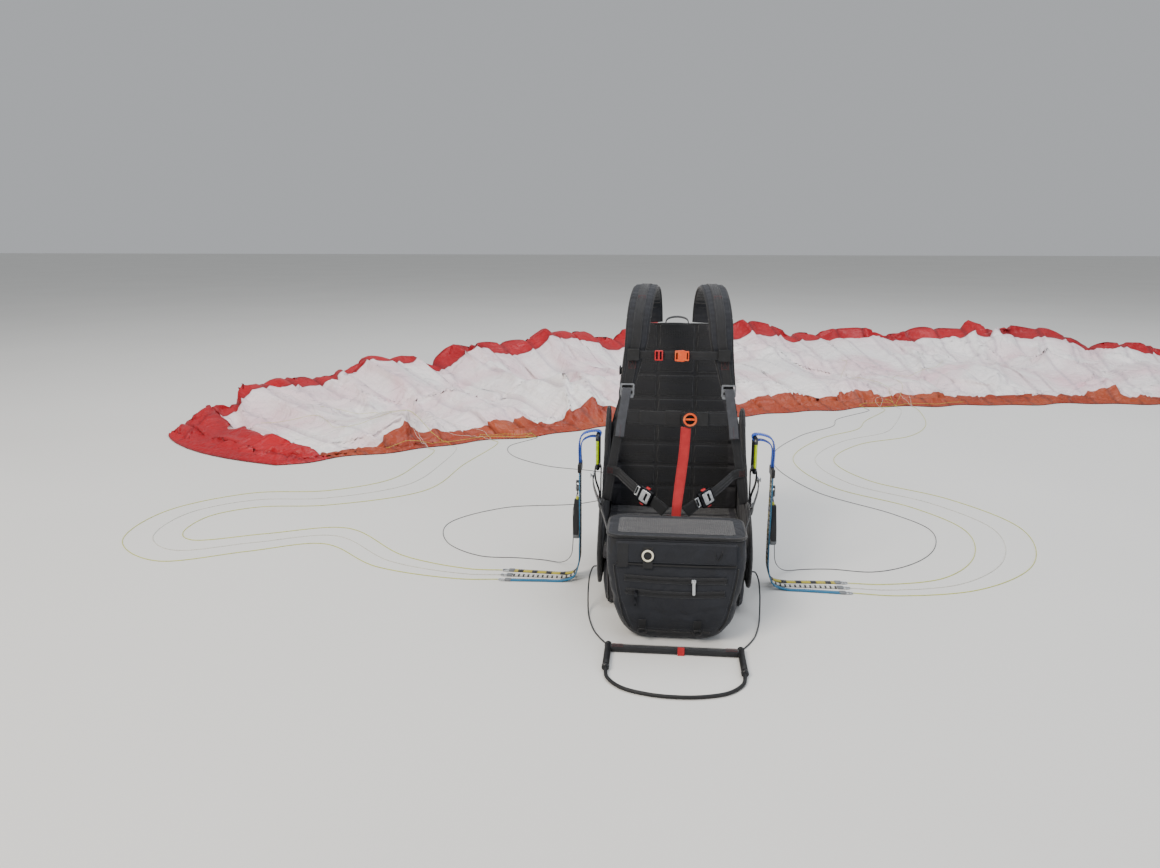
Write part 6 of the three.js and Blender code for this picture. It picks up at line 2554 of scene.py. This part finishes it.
@dataclass
class SpeedBar:
    """Foot bar: webbing step, two sleeves and a lower loop of rubber tube."""

    stitching: Stitching
    half: float = 0.158
    # right half of the lower loop, from its sleeve to the middle
    way: tuple = (
        (-0.158, -0.562, 0.009), (-0.152, -0.6, 0.0054), (-0.118, -0.64, 0.0048), (-0.06, -0.662, 0.0046),
        (0, -0.668, 0.0046),
    )
    sleeve_rows: tuple = ((-0.4525, 0.009), (-0.49, 0.0088), (-0.53, 0.0088), (-0.5638, 0.009))
    collar_rows: tuple = (-0.452, -0.556)

    def step(self) -> list:
        """Rows of the webbing step."""
        return [(x, -0.466, 0.0078, 0.021, 0.0135) for x in np.linspace(-0.152, 0.152, 12)]

    def bar(self) -> Piece:
        """Makes the step with its sleeves, collars, rings and lower loop.

        Returns:
            The bar.
        """
        bar = strap("step", self.step(), FORTH, Finish.BLACK_WEBBING, 80, 0.35)
        sleeves = [
            tube(f"sleeve_{i}", on_plane(sign * self.half, self.sleeve_rows), 8 * MM, Finish.RUBBER, 20)
            for i, sign in enumerate(SIDES)
        ]
        way = [*self.way, *mirrored(self.way[-2::-1], RIGHT)]
        loop = tube("loop", spline(way, 90), 4.3 * MM, Finish.RUBBER, 14)
        collars, rings = [], []
        for i, (y, sign) in enumerate((y, sign) for y in self.collar_rows for sign in SIDES):
            line = [(sign * self.half, y - far, 0.009) for far in (0, 0.004, 0.008)]
            collars.append(tube(f"collar_{i}", line, 8.8 * MM, Finish.BLACK_PLASTIC, 20))
        for i, sign in enumerate(SIDES):
            path = circle(0.0058, 32) + (sign * self.half, -0.4525, 0.0092)
            rings.append(ring_tube(f"ring_{i}", path, 1.3 * MM, Finish.STEEL, 10))
        return joined("foot_bar", bar, *sleeves, loop, *collars, *rings)

    def build(self) -> None:
        """Makes the bar, its red tab and its stitches."""
        settle(self.bar(), stands_for=["speed_bar"])
        box = (-0.008, 0.008, -0.0105, 0.0105, 0.001)
        tab = plate("foot_bar_tab", box, -0.0006, 0.0006, Finish.RED_WEBBING, 0.0003)
        settle(moved_to(tab, (0.016, -0.4772, 0.0108), ACROSS, (0, 0.1, 1)))
        self.stitching.edges(self.step(), FORTH, 0.8, (-1.04, 1.04), 120)
        for x in (-0.135, 0.135):
            self.stitching.tack((x, -0.466, 0.0149), ACROSS, FORTH, 0.024, 0.014)


@dataclass
class Risers:
    """Three risers a side that hang down and end on the floor, with links, pulley and brake handle."""

    stitching: Stitching
    x: float = 0.265
    top: float = 0.3495
    end: float = 0.47
    floor: float = 0.0023
    # letter, distance from the ring's plane at the head and on the floor, finish
    rows: tuple = (
        ("a", -0.018, -0.027, Finish.TEAL_WEBBING), ("b", 0.0, 0.0, Finish.TICKED_WEBBING),
        ("c", 0.018, 0.027, Finish.BANDED_WEBBING),
    )
    pulley_at: tuple = (RING[1] + 0.02, 0.268)
    handle_y: float = RING[1] + 0.02 - 0.0092
    handle_x: float = 0.275
    knot_profile: tuple = ((0.0012, -0.006), (0.0036, -0.005), (0.0046, 0.0), (0.0036, 0.005), (0.0012, 0.006))

    def stops(self, sign: int, top: float, floor: float) -> list[Point]:
        """Rows of one riser from the head down to the floor.

        Args:
            sign: the side.
            top: its distance from the ring's plane at the head.
            floor: the same on the floor.

        Returns:
            Rows of x, y, z, width and thickness.
        """
        rows = (
            (0, top, self.top - 0.02), (0, top, 0.26), (0, top, 0.11), (0.003, top * 1.1, 0.052),
            (0.018, top * 1.2, 0.014), (0.052, (top + floor) * 0.6, self.floor + 0.0006),
            (0.11, floor * 1.1, self.floor), (self.end - self.x, floor * 1.3, self.floor),
        )
        return [(sign * (self.x + a), RING[1] + b, c, 0.016, 0.003) for a, b, c in rows]

    def link(self, sign: int, y: float, name: str) -> Piece:
        """Makes the steel link with its screw sleeve and the grey rubber that holds it.

        Args:
            sign: the side.
            y: its place.
            name: letter and side of its riser.

        Returns:
            The link.
        """
        near, far, r = self.end + 0.003, self.end + 0.03, 0.0062
        ring = dense([*arc(near + r, y, r, 90, 270, 8), *arc(far - r - 0.002, y, r, -90, 90, 8)], 0.0015)
        path = at_height(ring, self.floor) * [sign, 1, 1]
        rod = ring_tube(f"rod_{name}", path, 1.75 * MM, Finish.STEEL, 10)
        screw = [(sign * (near + x), y - r, self.floor) for x in (0.008, 0.012, 0.017)]
        nut = tube(f"nut_{name}", screw, 2.3 * MM, Finish.STEEL, 6)
        grip = mirrored(rounded_box(self.end - 0.008, self.end + 0.011, y - 0.0085, y + 0.0085, 0.004), sign)
        sleeve = slab(f"grip_{name}", grip, 0.0003, 0.0052, Finish.GREY_RUBBER, "z", 0.0015)
        return joined(f"quick_link_{name}", rod, nut, sleeve)

    def block(self, name: str, sign: int, box: Point, near: float, far: float, finish: Finish, edge: float) -> Piece:
        """Makes a small plate across X between two distances from the middle; a box as in plate()."""
        return slab(name, rounded_box(*box), *sorted((sign * near, sign * far)), finish, "x", edge)

    def head(self, sign: int, name: str) -> Piece:
        """Makes the folded and sewn head where the three risers meet.

        Args:
            sign: the side.
            name: its name.

        Returns:
            The head.
        """
        y, half = RING[1], 0.0045
        self.stitching.tack((sign * (self.x + 0.0048), y, self.top - 0.012), FORTH, UP, 0.052, 0.018)
        box = (y - 0.03, y + 0.03, self.top - 0.0245, self.top, 0.004)
        return self.block(f"head_{name}", sign, box, self.x - half, self.x + half, Finish.BLACK_WEBBING, 0.0018)

    def pulley(self, sign: int, name: str) -> Piece:
        """Makes the pulley's cheeks, bridge, pin and cap.

        Args:
            sign: the side.
            name: its name.

        Returns:
            The pulley without its wheel.
        """
        y, z = self.pulley_at
        outline = [*arc(y, z, 0.0085, 180, 360, 12), (y + 0.0075, z + 0.022), (y - 0.0075, z + 0.022)]
        cheeks = [
            slab(f"cheek_{i}", outline, *sorted((sign * a, sign * b)), Finish.STEEL, "x", 0.0004)
            for i, (a, b) in enumerate(((0.266, 0.2684), (0.2772, 0.2788)))
        ]
        box = (y - 0.007, y + 0.007, z + 0.0165, z + 0.022, 0.002)
        bridge = self.block("bridge", sign, box, 0.2668, 0.2788, Finish.BLACK_PLASTIC, 0.001)
        # name, radius at its foot and at its end, length, distance from the middle
        sizes = (("pin", 0.002, 0.002, 0.012, 0.2668), ("cap", 0.0038, 0.0034, 0.0012, 0.2788))
        rounds = [
            turned(part, ((0, 0), (wide, 0), (end, high), (0, high)), (sign * x, y, z), (sign, 0, 0), Finish.STEEL, 16)
            for part, wide, end, high, x in sizes
        ]
        return joined(f"pulley_{name}", *cheeks, bridge, *rounds)

    def handle(self, sign: int, name: str) -> None:
        """Makes the brake handle's webbing loop, its grip, knot and neck.

        Args:
            sign: the side.
            name: its name.
        """
        y, x = self.handle_y, self.handle_x
        down = [(-0.006, 0.2345), (-0.02, 0.205), (-0.033, 0.178)]
        low = [*arc(-0.022, 0.15, 0.0185, 180, 270, 4), *arc(0.022, 0.15, 0.0185, 270, 360, 4)]
        way = [*down, *low, *mirrored(reversed(down), RIGHT)]
        stops = [(sign * x, y + a, b, 0.016, 0.0048) for a, b in way]
        loop = strap("loop", stops, ACROSS, Finish.BLACK_WEBBING, 100, 0.5)
        grip = strap("grip", stops[3:13], ACROSS, Finish.GREY_RUBBER, 60, 0.6)
        p = points_of(grip)
        reshaped(grip, (p - p.mean(0)) * [1.1, 1, 1] + p.mean(0) + [0, 0, -0.0009])
        knot = turned("knot", self.knot_profile, (sign * 0.274, y, 0.24), UP, Finish.YELLOW_LINE, 16)
        box = (y - 0.0075, y + 0.0075, 0.2285, 0.2375, 0.002)
        neck = self.block("neck", sign, box, x - 0.008, x + 0.008, Finish.BLACK_WEBBING, 0.002)
        item = joined(f"brake_loop_{name}", loop, grip, knot, neck)
        settle(item, stands_for=[f"brake_handle_{name}"])

    def build(self) -> None:
        """Makes the risers of both sides."""
        for sign, name in SIDES.items():
            items = []
            for letter, top, floor, finish in self.rows:
                stops = self.stops(sign, top, floor)
                items.append(strap(f"riser_{letter}", stops, FORTH, finish, 130))
                items.append(self.link(sign, RING[1] + floor * 1.3, f"{letter}_{name}"))
                self.stitching.edges(stops, FORTH, 0.72, (-1.15, 1.15), 130)
            item = joined(f"risers_{name}", *items, self.head(sign, name), self.pulley(sign, name))
            settle(item, stands_for=[f"riser_{name}"])
            self.handle(sign, name)


# The studio


@dataclass
class Studio:
    """Plain floor, soft light and the camera."""

    eye: Point = (-0.05, -2.3, 0.98)
    target: Point = (-0.27, 0.0, 0.42)
    lens: float = 26.0
    sensor: float = 36.0
    # near and far edge of the floor
    near: float = -30.0
    far: float = 34.0
    # name, place, aim, power in watts, width and tint of each lamp
    lights: ClassVar[tuple] = (
        ("key_light", (-3.5, -4.5, 5.5), (0.5, 1.0, 0.2), 520, 3.0, "FFF6EA"),
        ("fill_light", (5.5, -4.0, 3.5), (0.5, 0.5, 0.4), 160, 4.0, "EAF1FF"),
        ("sky_light", (1.0, 2.5, 7.0), (1.0, 1.5, 0.0), 420, 6.0, "F4F8FF"),
    )
    sky_tint: str = "E9ECF0"
    sky_strength: float = 0.55

    def aimed(self, name: str, data: bpy.types.ID, place: Point, aim: Point) -> bpy.types.Object:
        """Adds a lamp or camera that looks at a place.

        Args:
            name: its name.
            data: the lamp or camera.
            place: where it stands.
            aim: where it looks.

        Returns:
            The object.
        """
        item = linked(name, data)
        item.location, item.rotation_mode = place, "QUATERNION"
        item.rotation_quaternion = (Vector(aim) - Vector(place)).to_track_quat("-Z", "Y")
        return item

    def light(self, name: str, place: Point, aim: Point, power: float, size: float, tint: str) -> None:
        """Adds a soft area light.

        Args:
            name: its name.
            place: where it stands.
            aim: where it looks.
            power: its power in watts.
            size: how wide it is.
            tint: its colour.
        """
        lamp = bpy.data.lights.new(name, "AREA")
        lamp.energy, lamp.size, lamp.color = power, size, linear(tint)[:3]
        self.aimed(name, lamp, place, aim)

    def camera(self) -> None:
        """Places the camera at the photograph's viewing angle."""
        lens = bpy.data.cameras.new("camera")
        lens.lens, lens.sensor_width = self.lens, self.sensor
        bpy.context.scene.camera = self.aimed("camera", lens, self.eye, self.target)

    def build(self) -> None:
        """Makes the studio."""
        self.camera()
        floor_square("studio_floor", self.near, self.far)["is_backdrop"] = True
        for lamp in self.lights:
            self.light(*lamp)
        world = bpy.data.worlds.new("soft_studio")
        world.use_nodes = True
        sky = world.node_tree.nodes["Background"].inputs
        sky["Color"].default_value, sky["Strength"].default_value = linear(self.sky_tint), self.sky_strength
        bpy.context.scene.world = world


def write_sizes() -> None:
    """Works out the part's box and the dressed model's box as plain lists of numbers."""
    boxes = {"cad": CAD_BOX, "visual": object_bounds()}
    plain = {name: [list(map(float, corner)) for corner in box] for name, box in boxes.items()}


def main() -> None:
    """Builds the studio and every piece of the paraglider, in order."""
    logging.basicConfig(level=logging.INFO, format="%(message)s")
    wing, stitching = Wing(), Stitching()
    lines = Lines(wing)
    sewn = (Airbag, Seat, BackRest, SidePanels, ShoulderStraps, ChestStraps, LegStraps, Suspension, Risers)
    for assembly in (
        Studio(),
        lines,
        SpeedCords(),
        SpeedBar(stitching),
        wing,
        UpperLines(lines),
        *(kind(stitching) for kind in (*sewn, FrontContainer, ContainerLid)),
        stitching,
    ):
        log.info("building %s", type(assembly).__name__)
        assembly.build()
    write_sizes()


if __name__ == "__main__":
    main()
